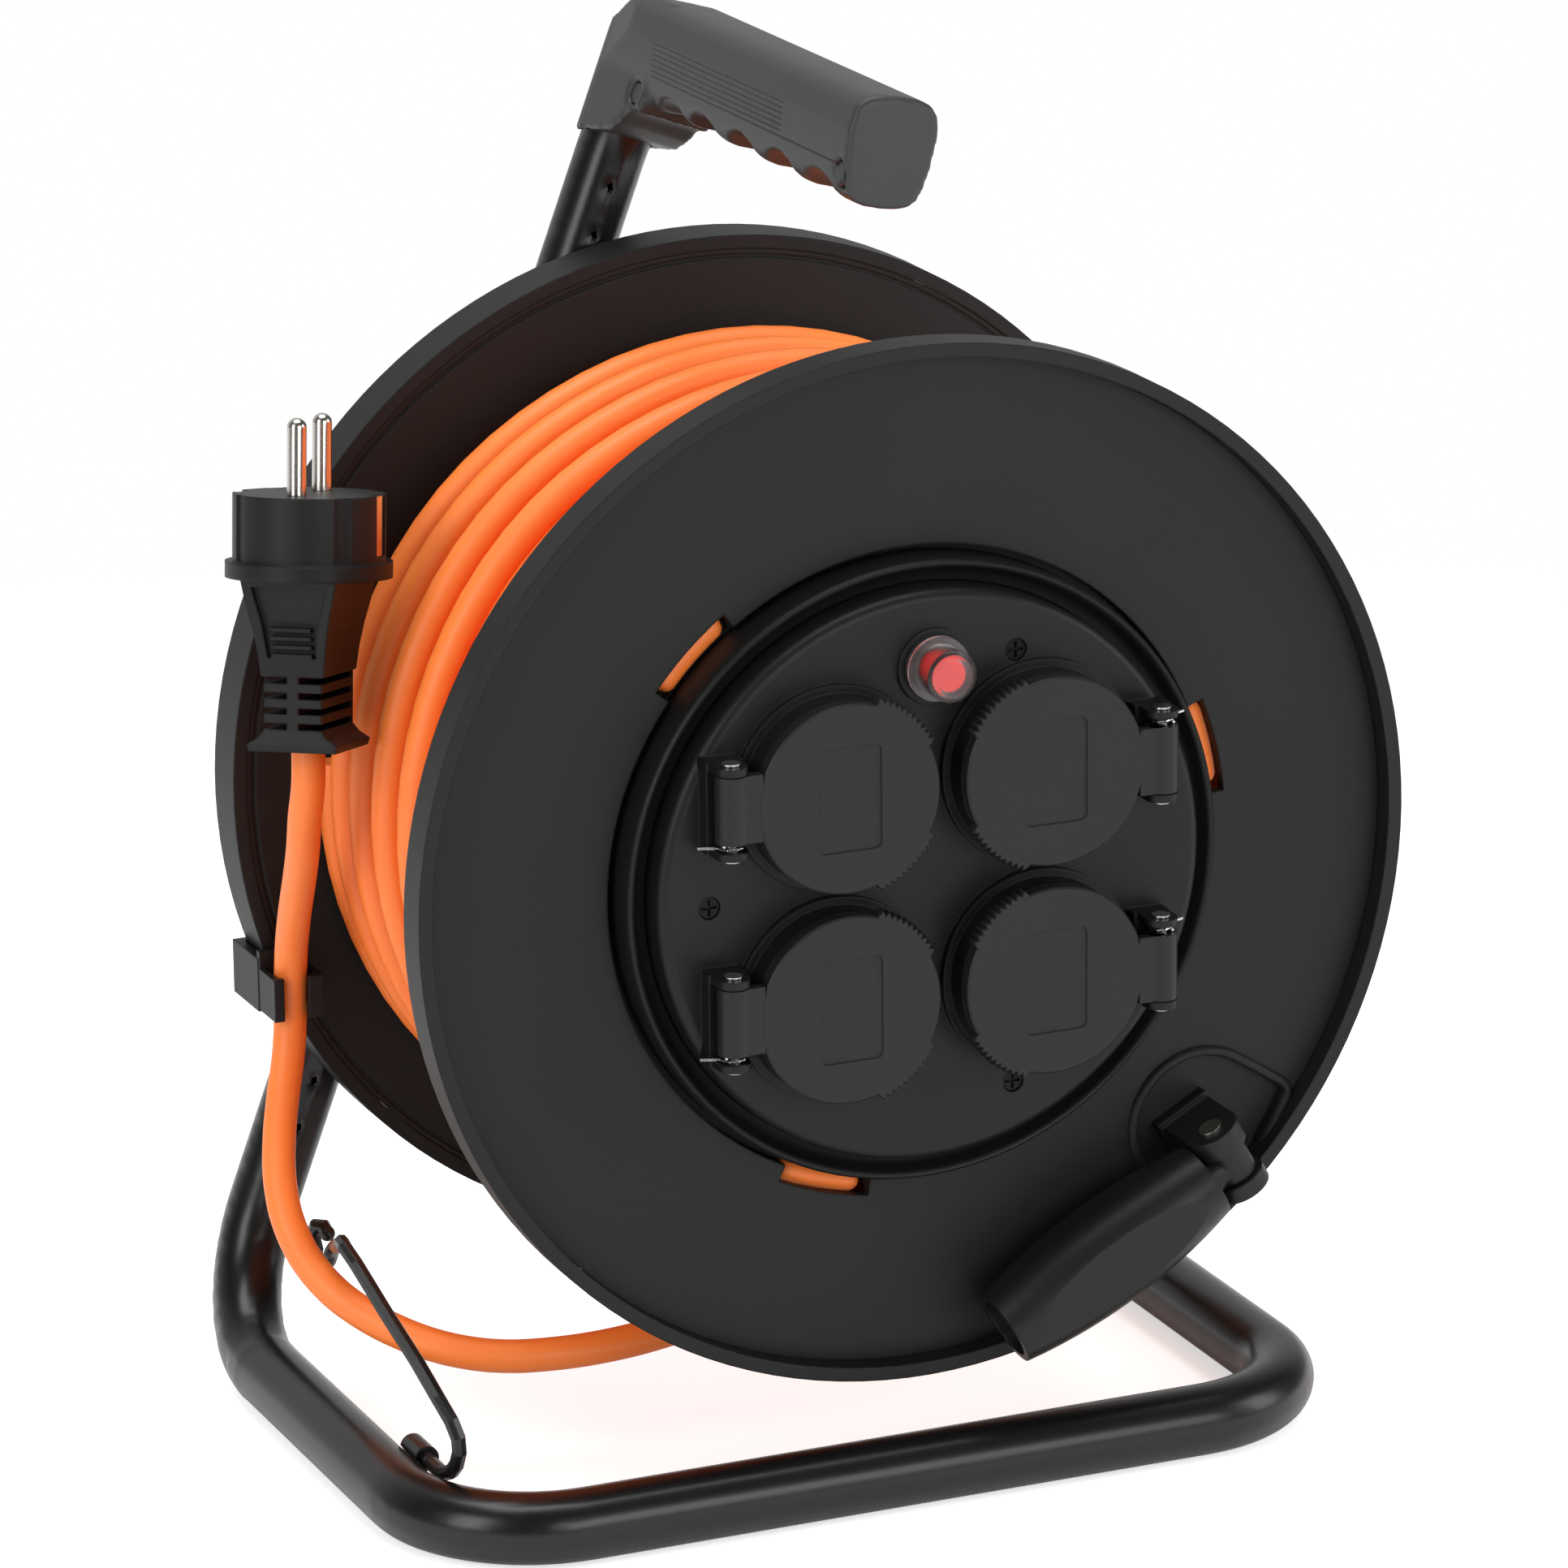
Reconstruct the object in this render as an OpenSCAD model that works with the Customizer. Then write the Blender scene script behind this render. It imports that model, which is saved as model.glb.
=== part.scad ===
// Extension cord reel on a bent tube stand, with four lidded sockets.
// Millimetres. X to the right, Y to the back, Z up, Z=0 is the floor.
// Inside the modules the drum axis is the Y axis; place() moves it to the floor frame.

/* [Stand] */
// outside diameter of the frame tube
tube_d = 18; // [16:0.5:20]
// wall thickness of the frame tube
tube_wall = 1.5; // [1:0.1:2.5]
// distance between the centre lines of the two feet
foot_span = 235; // [225:1:245]
// height of the drum axis above the floor
axle_h = 159; // [156:1:166]
// centre line radius of the bends at the floor
foot_bend = 35; // [32:1:40]
// free air between the drum and the tubes behind it
rear_gap = 3.4; // [3:0.1:6]

/* [Drum] */
// radius of both flanges
flange_r = 130; // [129:0.5:132]
// width over the two rims
drum_w = 143.2; // [143:0.2:144]
// outer radius of the barrel the cable is wound on
barrel_r = 77; // [76:0.2:77.6]
// radius of the steel axle
axle_r = 8; // [7:0.1:8.5]
// running gap between axle and bushes
axle_gap = 0.08; // [0.05:0.01:0.1]

/* [Cable] */
// outside diameter of the cable
cable_d = 8.4; // [8:0.1:8.6]
// turns in the outer layer
turns = 12; // [9:0.5:12]
// free air between two turns
turn_gap = 0.8; // [0.6:0.05:0.85]
// depth of the winding from the barrel to the centre line of the outer layer
wind_depth = 28; // [26:0.5:28.4]

/* [Sockets] */
// radius of the socket recess
recess_r = 19.7; // [19.5:0.05:20]
// depth of the socket recess
recess_depth = 17.5; // [17:0.1:18]
// distance between the two contact holes
contact_pitch = 19; // [18.6:0.1:19.4]
// radius of a contact hole
hole_r = 2.5; // [2.5:0.02:2.6]
// radius of the lid disc
lid_r = 23.5; // [23:0.1:24]
// thickness of the lid
lid_t = 3; // [2.6:0.1:3.2]
// running gap between lid and hinge pin
hinge_gap = 0.06; // [0.04:0.01:0.09]

/* [Crank] */
// radius of the grip at its two ends
grip_r = 9.8; // [9.4:0.1:10.2]
// how much thicker the grip is in the middle
grip_bulge = 3.3; // [2:0.1:3.4]
// length of the grip sleeve
grip_len = 62.7; // [60:0.1:64]
// running gap of the grip on its spindle
grip_gap = 0.08; // [0.05:0.01:0.1]

/* [Plug] */
// diameter of the two plug pins
pin_d = 4.8; // [4.76:0.02:4.86]
// free length of the plug pins
pin_len = 19; // [18.5:0.1:19.5]
// diameter of the plug body
plug_d = 37.4; // [36:0.2:38]

/* [Hidden] */
$fn = 48;
tube_r = tube_d / 2;
cable_r = cable_d / 2;
half_w = drum_w / 2;
// frame tube centre lines
foot_z = tube_r - axle_h;
foot_x0 = 106.5 - foot_span;
foot_x1 = 106.5;
bar_y = -half_w - tube_r + 0.1;
post_y = half_w + rear_gap + tube_r;
post_slope = 0.38;
lean = atan(post_slope);
leg_slope = -foot_x1 / foot_z;
meet_h = (foot_x1 - foot_x0) / (post_slope + leg_slope);
leg_lean = atan(leg_slope);
leg_len = meet_h / cos(leg_lean);
// handle corner, where the post line meets the grip line
grip_z = 335 - axle_h;
post_len = (grip_z - foot_z) / cos(lean);
grip_bend = 30;
grip_tube_end = -58;
grip_front = -68.5;
// drum levels along Y
face_y = -66;
plate_t = 3;
rim_r = flange_r - 3.5;
// air at the seam between a flange plate and its rim
rim_seam = 0.05;
panel_y = -78;
panel_t = 3;
panel_r = 71.5;
well_r = barrel_r + 2.8;
floor_y = -57.5;
rear_y = 58;
// sockets
sock_x = 27;
sock_z = 26.3;
collar_y = -86.5;
collar_r = 23.5;
insert_r = 21.1;
hinge_x = 56.4;
hinge_y = -87;
lid_y = hinge_y - lid_t;
hinge_pin_r = 1.5;
breaker_z = 53;
panel_screw_r = 58.5;
panel_screw_a = [68, 180, -69];
flange_screw_a = [30, 150, 270];
flange_screw_r = barrel_r - 8.5;
// crank
crank_r = flange_r - 15.48;
crank_a = -46.59;
crank_at = [crank_r * cos(crank_a), -80.5, crank_r * sin(crank_a)];
crank_turn = 150.8;
crank_pin_r = 3;
grip_start = 7.5;
spindle_r = 4;
spindle_end = grip_start + grip_len - 8.3;
// winding
layer_r = barrel_r + wind_depth;
pitch = cable_d + turn_gap;
wind_y0 = face_y + plate_t + cable_r + 1.3;
wind_turns = min(turns, (rear_y - 0.3 - cable_r - wind_y0) / pitch);
core_r = layer_r * cos(7.5) - cable_r - 0.3;
// plug and lead
plug_at = [-121, 23.1, 61.6];
plug_up = [0.087, 0.152, 0.9845];
pin_line = [0.626, 0.78, 0];
plug_tail = 39.3;
pin_shank_r = pin_d / 2 - 0.5;
lead_end = plug_at - (plug_tail + 0.1) * plug_up / norm(plug_up);
lead_in = lead_end - 9 * plug_up / norm(plug_up);
lead_route = [
  [34.5, -24, -109], [24.5, -24, -111.3], [10, -24, -114.6], [-5, -24, -118],
  [-20, -24, -121.2], [-35, -24, -124.2], [-50, -24, -126.8], [-60, -24, -127.9],
  [-70, -23.5, -128.5], [-79, -22.3, -128.7], [-88, -20, -128.7], [-96, -16.3, -128.2],
  [-104, -11.2, -126.8], [-111, -5, -124.6], [-117.8, 2.5, -121.3], [-124, 10.5, -116.3],
  [-128.6, 18, -109.2], [-130.6, 25, -100.7], [-130, 31.5, -91.8], [-127.6, 37.5, -83.2],
  [-124.4, 43, -74.9], [-121.4, 47, -66.6], [-119.6, 49.7, -58.5], [-119, 50.5, -49],
  [-119.3, 48, -37.9], [-120.6, 41.2, -26.8], [-122.1, 32.9, -15.7], [-123.9, 24.6, -5.4],
  [-125.2, 19, 4.4], lead_in, lead_end
];
// wire guide: hinge line and route of the wire
guide_off = [9.6, 6];
guide_x = foot_x0 + guide_off[0];
guide_z = foot_z + guide_off[1];
wire_r = 1.9;
guide_route = [
  [0, -40, 0], [0, -48, 0], [0, -52, 1], [0, -56, 2.8], [0, -59.4, 5.8], [0, -61.6, 9.8],
  [-0.4, -62, 13.6], [-1.4, -60.2, 17.6], [-3.3, -56.2, 22.6], [-5.6, -49, 29.5], [-9.2, -38, 38.9],
  [-12.7, -27.2, 48.6], [-14, -22.6, 51.8], [-13.6, -19.6, 52], [-9.2, -4, 45.1], [-3.4, 13, 38.7],
  [-1.6, 21, 34.2], [-1.3, 24, 30.9], [-1.6, 27, 28.1], [-2.8, 29.4, 26.4], [-2.6, 31.2, 28.4],
  [-1.9, 31.5, 31.6], [-2.7, 31.5, 35.6], [-2.2, 30.4, 38.2], [-0.8, 28.8, 38.4], [-0.2, 27.8, 36.6]
];
// floor frame
front_y = min(crank_at[1] - (grip_r + 1.1), hinge_y - 4);
back_y = post_y + tube_r + 1.5;
shift = [-(foot_x0 - tube_r + flange_r) / 2, -(front_y + back_y) / 2, axle_h];

turns_air = pitch - cable_d;
layer_air = (layer_r * cos(7.5) - cable_r) - core_r;
echo(least_gap_between_turns = turns_air, gap_to_core = layer_air);

// ---------- helpers ----------
module place() {
  translate(shift) children();
}
module ycyl(y0, y1, r) {
  translate([0, y1, 0]) rotate([90, 0, 0]) cylinder(r = r, h = y1 - y0);
}
module yring(y0, y1, ro, ri) {
  difference() {
    ycyl(y0, y1, ro);
    ycyl(y0 - 1, y1 + 1, ri);
  }
}
module at(x, z) {
  translate([x, 0, z]) children();
}
module polar(r, a) {
  translate([r * cos(a), 0, r * sin(a)]) children();
}
module box(x0, x1, y0, y1, z0, z1) {
  translate([x0, y0, z0]) cube([x1 - x0, y1 - y0, z1 - z0]);
}
module rod(a, b, r) {
  d = b - a;
  translate(a) rotate([0, acos(d[2] / norm(d)), atan2(d[1], d[0])]) cylinder(r = r, h = norm(d));
}
// a quarter bend at corner c, arriving along p and leaving along q
module bend(c, p, q, big, r) {
  o = c - big * p + big * q;
  z = cross(-q, p);
  multmatrix([
    [-q[0], p[0], z[0], o[0]],
    [-q[1], p[1], z[1], o[1]],
    [-q[2], p[2], z[2], o[2]],
    [0, 0, 0, 1]
  ]) rotate_extrude(angle = 90) translate([big, 0]) circle(r = r);
}
// a ring sector about the Y axis, from angle a0 over da degrees
module sector(y0, y1, ri, ro, a0, da) {
  rotate([90, 0, 0]) rotate([0, 0, a0]) rotate_extrude(angle = da)
    translate([ri, -y1]) square([ro - ri, y1 - y0]);
}
function unit(v) = v / norm(v);
// one closed round wire along a list of points; the frame is carried along, so bends do not twist it
function frames(pts, i, u) = i == len(pts) ? [] :
  let (t = unit(pts[min(i + 1, len(pts) - 1)] - pts[max(i - 1, 0)]), v = unit(u - (u * t) * t))
  concat([[v, cross(t, v)]], frames(pts, i + 1, v));
module wire_along(pts, r, sides, start) {
  n = len(pts);
  f = frames(pts, 0, start);
  ring = [for (i = [0:n - 1]) for (k = [0:sides - 1])
    pts[i] + r * (cos(360 * k / sides) * f[i][0] + sin(360 * k / sides) * f[i][1])];
  side = [for (i = [0:n - 2]) for (k = [0:sides - 1])
    let (a = i * sides + k, b = i * sides + (k + 1) % sides)
    each [[a, a + sides, b], [b, a + sides, b + sides]]];
  first = [for (k = [1:sides - 2]) [0, k, k + 1]];
  last = [for (k = [1:sides - 2]) (n - 1) * sides * [1, 1, 1] + [0, k + 1, k]];
  polyhedron(points = ring, faces = concat(side, first, last));
}

// ---------- stand ----------
// the post with its two bends and the bar inside the handle
module post_side(r, ext) {
  bar_len = post_y - grip_tube_end;
  translate([foot_x0, post_y, foot_z]) rotate([0, lean, 0]) {
    bend([0, 0, 0], [0, 0, -1], [0, -1, 0], foot_bend, r);
    rod([0, 0, foot_bend], [0, 0, post_len - grip_bend], r);
    bend([0, 0, post_len], [0, 0, 1], [0, -1, 0], grip_bend, r);
    rod([0, -grip_bend, post_len], [0, -bar_len - ext, post_len], r);
  }
}
// the front bar with its two bends and both feet, short of the rear bends by back
module front_side(r, back) {
  foot_len = post_y - bar_y - foot_bend - back;
  translate([foot_x0, bar_y, foot_z]) {
    bend([0, 0, 0], [0, -1, 0], [1, 0, 0], foot_bend, r);
    rod([foot_bend, 0, 0], [foot_span - foot_bend, 0, 0], r);
    bend([foot_span, 0, 0], [1, 0, 0], [0, 1, 0], foot_bend, r);
    for (x = [0, foot_span]) rod([x, foot_bend, 0], [x, foot_len, 0], r);
  }
}
// the bend at the back of the right foot and the leg up to the post
module leg_side(r, z0, z1) {
  translate([foot_x1, post_y, foot_z]) rotate([0, -leg_lean, 0]) {
    bend([0, 0, 0], [0, 1, 0], [0, 0, 1], foot_bend, r);
    rod([0, 0, z0], [0, 0, z1], r);
  }
}
// ground weld beads where the feet meet the rear bends
module foot_welds() {
  for (x = [foot_x0, foot_x1]) translate([x, post_y - foot_bend - 0.6, foot_z]) rotate([-90, 0, 0])
    cylinder(r = tube_r + 0.25, h = 1.2);
}
module post_core(r) {
  translate([foot_x0, post_y, foot_z]) rotate([0, lean, 0]) rod([0, 0, 100], [0, 0, post_len - 60], r);
}
module leg_core(r) {
  translate([foot_x1, post_y, foot_z]) rotate([0, -leg_lean, 0]) rod([0, 0, 100], [0, 0, leg_len - 20], r);
}
module frame_tube() {
  color([0.05, 0.05, 0.05]) place() difference() {
    union() {
      difference() {
        leg_side(tube_r, foot_bend, leg_len);
        leg_side(tube_r - tube_wall, foot_bend, leg_len);
        post_core(tube_r - 0.6);
      }
      difference() {
        union() {
          post_side(tube_r, 0);
          front_side(tube_r, 0.1);
          foot_welds();
        }
        post_side(tube_r - tube_wall, 1);
        front_side(tube_r - tube_wall, 1);
      }
    }
    ycyl(post_y - tube_r - 2, post_y + tube_r + 2, axle_r + 0.1);
  }
}
module axle() {
  color([0.6, 0.6, 0.62]) place() difference() {
    ycyl(-21, post_y + tube_r + 1.5, axle_r);
    yring(-18.45, -17.05, axle_r + 2, axle_r - 0.9);
    translate([0, -22, 0]) rotate([-90, 0, 0]) cylinder(r1 = 3, r2 = 0.5, h = 3);
  }
}
module axle_boss() {
  color([0.05, 0.05, 0.05]) place() difference() {
    yring(post_y - 14, post_y - 7.5, 17, axle_r + 0.1);
    leg_core(tube_r + 0.05);
  }
}
module axle_washer() {
  color([0.7, 0.7, 0.72]) place() yring(-16.9, -15.4, 14, axle_r + 0.15);
}
module axle_circlip() {
  color([0.3, 0.3, 0.3]) place() difference() {
    yring(-18.4, -17.1, 11, axle_r - 0.8);
    box(-3, 3, -19, -16, 0, 20);
  }
}

// ---------- handle ----------
module in_handle() {
  translate([foot_x0, post_y, foot_z]) rotate([0, lean, 0]) translate([0, 0, post_len]) children();
}
grip_outline = [
  [0, 13.6], [5, 13.4], [8.2, 12.4], [10.2, 10.3], [11.2, 7.4], [11.3, 4], [10.9, -3], [9.9, -8],
  [8.9, -10.6], [7, -12.4], [4, -13.2], [0, -13.4], [-4, -13.3], [-7, -12.6], [-9.2, -11],
  [-10.3, -8], [-11.2, -3], [-11.8, 4], [-11.8, 7.4], [-10.8, 10.4], [-8.5, 12.5], [-5, 13.4]
];
collar_half = tube_r + 1.3;
// side view, y from the post line and height above the grip line
module grip_profile() {
  polygon([
    [grip_front - post_y - 3, -18], [grip_front - post_y - 3, 20], [-30, 20], [-26, 13.4], [-18, 12.1],
    [-12, 10.9], [-6.5, 8.7], [-2, 6.3], [2.7, 3.1], [5.6, 1], [8.2, -3], [9.8, -8],
    [collar_half, -14], [collar_half, -28.2], [0, -26.4], [-16, -23.5], [-20.5, -20.6], [-24, -17.2],
    [-27, -15.7], [-34, -18]
  ]);
}
// top view, round behind the post
module grip_plan() {
  circle(r = collar_half);
  polygon([[-collar_half, 0], [collar_half, 0], [13.4, -16], [13.4, -220], [-13.4, -220], [-13.4, -16]]);
}
module handle_solid() {
  difference() {
    intersection() {
      union() {
        rotate([90, 0, 0]) translate([-1, -0.3, -collar_half]) linear_extrude(collar_half + post_y - grip_front)
          rotate(9) polygon(grip_outline);
        translate([-collar_half, -30, -30]) cube([2 * collar_half, 42, 42]);
      }
      translate([-20, 0, 0]) rotate([90, 0, 90]) linear_extrude(40) grip_profile();
      translate([0, 0, -40]) linear_extrude(80) grip_plan();
    }
    // finger grooves
    for (y = [41, 20.5, -3.2, -26.9, -50.6]) translate([-20, y - post_y, -23]) rotate([0, 90, 0])
      cylinder(r = 13, h = 40);
    // bore for the tube
    rod([0, 0, -40], [0, 0, -grip_bend], tube_r + 0.15);
    bend([0, 0, 0], [0, 0, 1], [0, -1, 0], grip_bend, tube_r + 0.15);
    rod([0, -grip_bend, 0], [0, grip_tube_end - post_y - 0.5, 0], tube_r + 0.15);
    handle_screw_holes();
  }
}
handle_screw_at = [[-24, -12.2], [-64 - 84, -8.3]];
module handle_screw_holes() {
  for (p = handle_screw_at) translate([0, p[0], p[1]]) {
    rotate([0, -90, 0]) translate([0, 0, 5.4]) cylinder(r = 3.1, h = 20);
    rotate([0, -90, 0]) translate([0, 0, -6.5]) cylinder(r = 1.65, h = 20);
  }
}
module handle_left() {
  color([0.13, 0.13, 0.13]) place() in_handle() difference() {
    handle_solid();
    box(-0.05, 30, -200, 60, -60, 60);
  }
}
module handle_right() {
  color([0.13, 0.13, 0.13]) place() in_handle() difference() {
    handle_solid();
    box(-30, 0.05, -200, 60, -60, 60);
  }
}
module handle_screws() {
  color([0.2, 0.2, 0.2]) place() in_handle() for (p = handle_screw_at) translate([0, p[0], p[1]]) difference() {
    union() {
      rotate([0, -90, 0]) translate([0, 0, 5.6]) cylinder(r = 2.9, h = 2.2);
      rotate([0, -90, 0]) translate([0, 0, -6.2]) cylinder(r = 1.6, h = 12.3);
    }
    box(-9, -6.8, -2.2, 2.2, -0.4, 0.4);
    box(-9, -6.8, -0.4, 0.4, -2.2, 2.2);
  }
}

// ---------- wire guide ----------
sleeve_y = [-39, -29];
module guide_bracket() {
  seat = norm(guide_off) - tube_r - 0.03;
  color([0.05, 0.05, 0.05]) place() translate([guide_x, 0, guide_z]) rotate([0, atan2(guide_off[0], guide_off[1]), 0])
    difference() {
      intersection() {
        ycyl(sleeve_y[0], sleeve_y[1], wire_r + 1.3);
        box(-5, 5, sleeve_y[0] - 1, sleeve_y[1] + 1, -seat, 5);
      }
      ycyl(sleeve_y[0] - 2, sleeve_y[1] + 2, wire_r + 0.1);
    }
}
module cable_guide() {
  color([0.04, 0.04, 0.04]) place() translate([guide_x, 0, guide_z]) union() {
    rod([0, sleeve_y[1] + 1.2, 0], [0, -42, 0], wire_r + 0.03);
    wire_along([for (i = [0:len(guide_route) - 1]) guide_route[i]], wire_r, 8, [1, 0, 0]);
    rod([0, sleeve_y[1] + 0.3, 0], [0, sleeve_y[1] + 1.3, 0], wire_r + 0.35);
    translate(guide_route[len(guide_route) - 1]) sphere(r = wire_r + 0.1);
  }
}

// ---------- supply lead and plug ----------
module in_plug() {
  z = unit(plug_up);
  x = unit(pin_line - (pin_line * z) * z);
  y = cross(z, x);
  multmatrix([
    [x[0], y[0], z[0], plug_at[0]],
    [x[1], y[1], z[1], plug_at[1]],
    [x[2], y[2], z[2], plug_at[2]],
    [0, 0, 0, 1]
  ]) children();
}
module supply_lead() {
  color([1, 0.4, 0.15]) place() wire_along(lead_route, cable_r, 10, [0, 1, 0]);
}
// half widths of the tail across and along the pin line, at heights below the collar
tail_half = [
  [12.3, 3], [11.3, -2], [9.6, -9.3], [8.6, -15.7], [8.1, -20.8], [7.4, -21], [7.4, -34], [9, -36],
  [11.6, -37.6], [11.2, -39.3]
];
side_half = [[15.8, 3], [14.9, -6], [13.2, -14], [12.4, -20.4], [12, -21], [12, -34], [12.6, -37.6], [12.6, -39.3]];
module grip_recess() {
  translate([-16, 0, 1]) rotate([0, -8.3, 0]) rotate([90, 0, 90]) linear_extrude(2.2)
    polygon([[-9.6, 0], [9.6, 0], [7.2, -9], [6.2, -17.5], [-6.2, -17.5], [-7.2, -9]]);
}
module plug_body() {
  color([0.07, 0.07, 0.07]) place() in_plug() difference() {
    union() {
      translate([0, 0, 2.6]) cylinder(r = plug_d / 2 + 1.8, h = 4);
      translate([0, 0, 2.6]) cylinder(r = plug_d / 2, h = 20.4);
      intersection() {
        rotate([90, 0, 90]) linear_extrude(40, center = true)
          polygon(concat(tail_half, [for (i = [len(tail_half) - 1:-1:0]) [-tail_half[i][0], tail_half[i][1]]]));
        rotate([90, 0, 0]) linear_extrude(40, center = true)
          polygon(concat(side_half, [for (i = [len(side_half) - 1:-1:0]) [-side_half[i][0], side_half[i][1]]]));
      }
    }
    // pin holes and earth slots
    for (s = [-1, 1]) translate([s * contact_pitch / 2, 0, 12]) cylinder(r = pin_shank_r + 0.04, h = 20);
    for (s = [-1, 1]) translate([-3.2, s * plug_d / 2 - 2.2, 8]) cube([6.4, 4.4, 20]);
    for (a = [45:90:315]) rotate(a) translate([plug_d / 2 - 0.6, -2, 6.8]) cube([3, 4, 20]);
    // strain relief slots
    for (i = [0:3], s = [-1, 1]) translate([-20, s * 5.6 - 4.1, -22.6 - 3.75 * i]) cube([31, 8.2, 1.6]);
    for (t = [0, 180]) rotate(t) difference() {
      grip_recess();
      for (i = [0:3]) translate([-17, -5.2, -9.8 - 2.15 * i]) cube([6, 10.4, 1]);
    }
  }
}
module plug_pins() {
  color([0.75, 0.73, 0.7]) place() in_plug() for (s = [-1, 1]) translate([s * contact_pitch / 2, 0, 0]) {
    translate([0, 0, 12.2]) cylinder(r = pin_shank_r, h = 11);
    translate([0, 0, 23.05]) cylinder(r = pin_d / 2, h = pin_len - 0.05 - pin_d / 2);
    translate([0, 0, 23 + pin_len - pin_d / 2]) sphere(r = pin_d / 2);
  }
}
module plug_earth_clips() {
  color([0.75, 0.73, 0.7]) place() in_plug() for (s = [-1, 1]) union() {
    translate([-2.5, s * (plug_d / 2 - 1.2) - 0.5, 8.1]) cube([5, 1, 14.7]);
    translate([-2.5, s * (plug_d / 2 - 1.7) - 0.5, 21.8]) cube([5, 1, 1]);
  }
}
module cable_clip() {
  c = lead_route[23];
  y0 = c[1] - cable_r - 2;
  y1 = c[1] + cable_r + 0.3;
  y2 = half_w + 2.8;
  color([0.06, 0.06, 0.06]) place() union() {
    // the part that holds the cable
    box(c[0] - 6.4, c[0] + 6.8, y1, y1 + 2, c[2] - 7, c[2] + 8.5);
    box(c[0] - 6.4, c[0] - 4.9, y0, y1 + 1, c[2] - 7, c[2] + 4);
    box(c[0] + 4.8, c[0] + 6.8, y0, y1 + 1, c[2] - 7, c[2] + 4);
    box(c[0] - 6.4, c[0] - 3.8, y0, y0 + 1.5, c[2] - 7, c[2] + 4);
    box(c[0] + 2.8, c[0] + 6.8, y0, y0 + 1.5, c[2] - 7, c[2] + 4);
    // the hook round the rim
    intersection() {
      box(c[0] - 6.6, c[0] + 14, y1 + 1, y2, c[2] - 7.5, c[2] + 6.4);
      union() {
        yring(y1 + 1, y2, flange_r + 20, flange_r + 0.4);
        yring(half_w + 0.4, y2, flange_r + 20, rim_r - 3.6);
        yring(half_w - 5, half_w + 1.4, rim_r - 0.4, rim_r - 3.6);
      }
    }
  }
}

// ---------- drum ----------
module flange_screw_places() {
  for (a = flange_screw_a) polar(flange_screw_r, a) children();
}
module rear_flange() {
  color([0.09, 0.09, 0.09]) place() difference() {
    union() {
      ycyl(rear_y, rear_y + 2.5, rim_r - rim_seam);
      ycyl(-14, rear_y + 2.5, 15);
      for (i = [0:3]) rotate([0, i * 90, 0]) box(12, 36, rear_y - 28, rear_y + 0.5, -1.25, 1.25);
    }
    ycyl(-15, 70, 10.5);
    yring(rear_y - 0.5, rear_y + 0.5, rim_r - 1.4, rim_r - 2.4);
    flange_screw_places() ycyl(rear_y - 1, rear_y + 3, 2.4);
  }
}
// the boss, the ribs and the ring between them, on the back of the plate
module rear_ribs() {
  y0 = rear_y + 2.5 + rim_seam;
  color([0.09, 0.09, 0.09]) place() union() {
    yring(y0, 68.6, 15, 10.5);
    for (i = [0:7]) rotate([0, i * 45 + 22.5, 0]) box(15.2, 117.5, y0, rear_y + 9, -1.25, 1.25);
    for (i = [0:7]) sector(y0, rear_y + 7, barrel_r - 19.5, barrel_r - 17, i * 45 - 21, 42);
  }
}
module rear_rim() {
  color([0.09, 0.09, 0.09]) place() yring(rear_y - 0.4, half_w, flange_r, rim_r);
}
module drum_barrel() {
  color([0.09, 0.09, 0.09]) place() difference() {
    union() {
      yring(floor_y, rear_y, barrel_r, barrel_r - 2.5);
      flange_screw_places() ycyl(floor_y, rear_y, 6.5);
    }
    flange_screw_places() ycyl(floor_y - 1, rear_y + 1, 2.3);
    rotate([0, 200, 0]) rod([40, 40, 0], [90, 40, 0], cable_r + 0.6);
  }
}
module crank_pocket(grow, y0, y1) {
  intersection() {
    ycyl(y0, y1, rim_r - 0.2);
    at(crank_at[0], crank_at[2]) union() {
      at(-1.2, 6.2) ycyl(y0, y1, 17.5 + grow);
      translate([0, y1, 0]) rotate([90, 0, 0]) linear_extrude(y1 - y0)
        polygon([[-1.2, 6.2], [-15.2 - grow, -3.8 - grow], [2.8, -23.8], [22.8, -7.8],
          [28.8 + grow, 8.7 + grow], [13.8, 17.2 + grow], [3.3, 23.1 + grow], [-9.2, 20.2]]);
    }
  }
}
module front_flange() {
  color([0.09, 0.09, 0.09]) place() difference() {
    union() {
      yring(face_y, face_y + plate_t, rim_r - rim_seam, well_r);
      yring(face_y, floor_y, well_r + 2.4, well_r);
      yring(floor_y - 2.5, floor_y, well_r + 1, 52);
      crank_pocket(2, face_y + 1, face_y + 3.9);
      for (a = panel_screw_a) polar(panel_screw_r, a) ycyl(floor_y - 3.5, floor_y + 6, 4.4);
    }
    for (x = [-1, 1], z = [-1, 1]) at(x * sock_x, z * sock_z) ycyl(-70, -40, insert_r + 2.8);
    box(-13, 13, -70, -50, breaker_z - 12.5, breaker_z + 13);
    for (a = [125.5, 5.5, -115.5]) sector(face_y - 1, floor_y + 1, barrel_r + 1, well_r + 4.2, a, 17);
    crank_pocket(0, face_y - 1, face_y + 2.5);
    flange_screw_places() ycyl(floor_y - 5, floor_y + 1, 2.4);
    for (a = panel_screw_a) polar(panel_screw_r, a) ycyl(floor_y - 5, floor_y + 5, 1.6);
  }
}
module front_rim() {
  color([0.09, 0.09, 0.09]) place() yring(-half_w, -half_w + 10, flange_r, rim_r);
}
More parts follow.
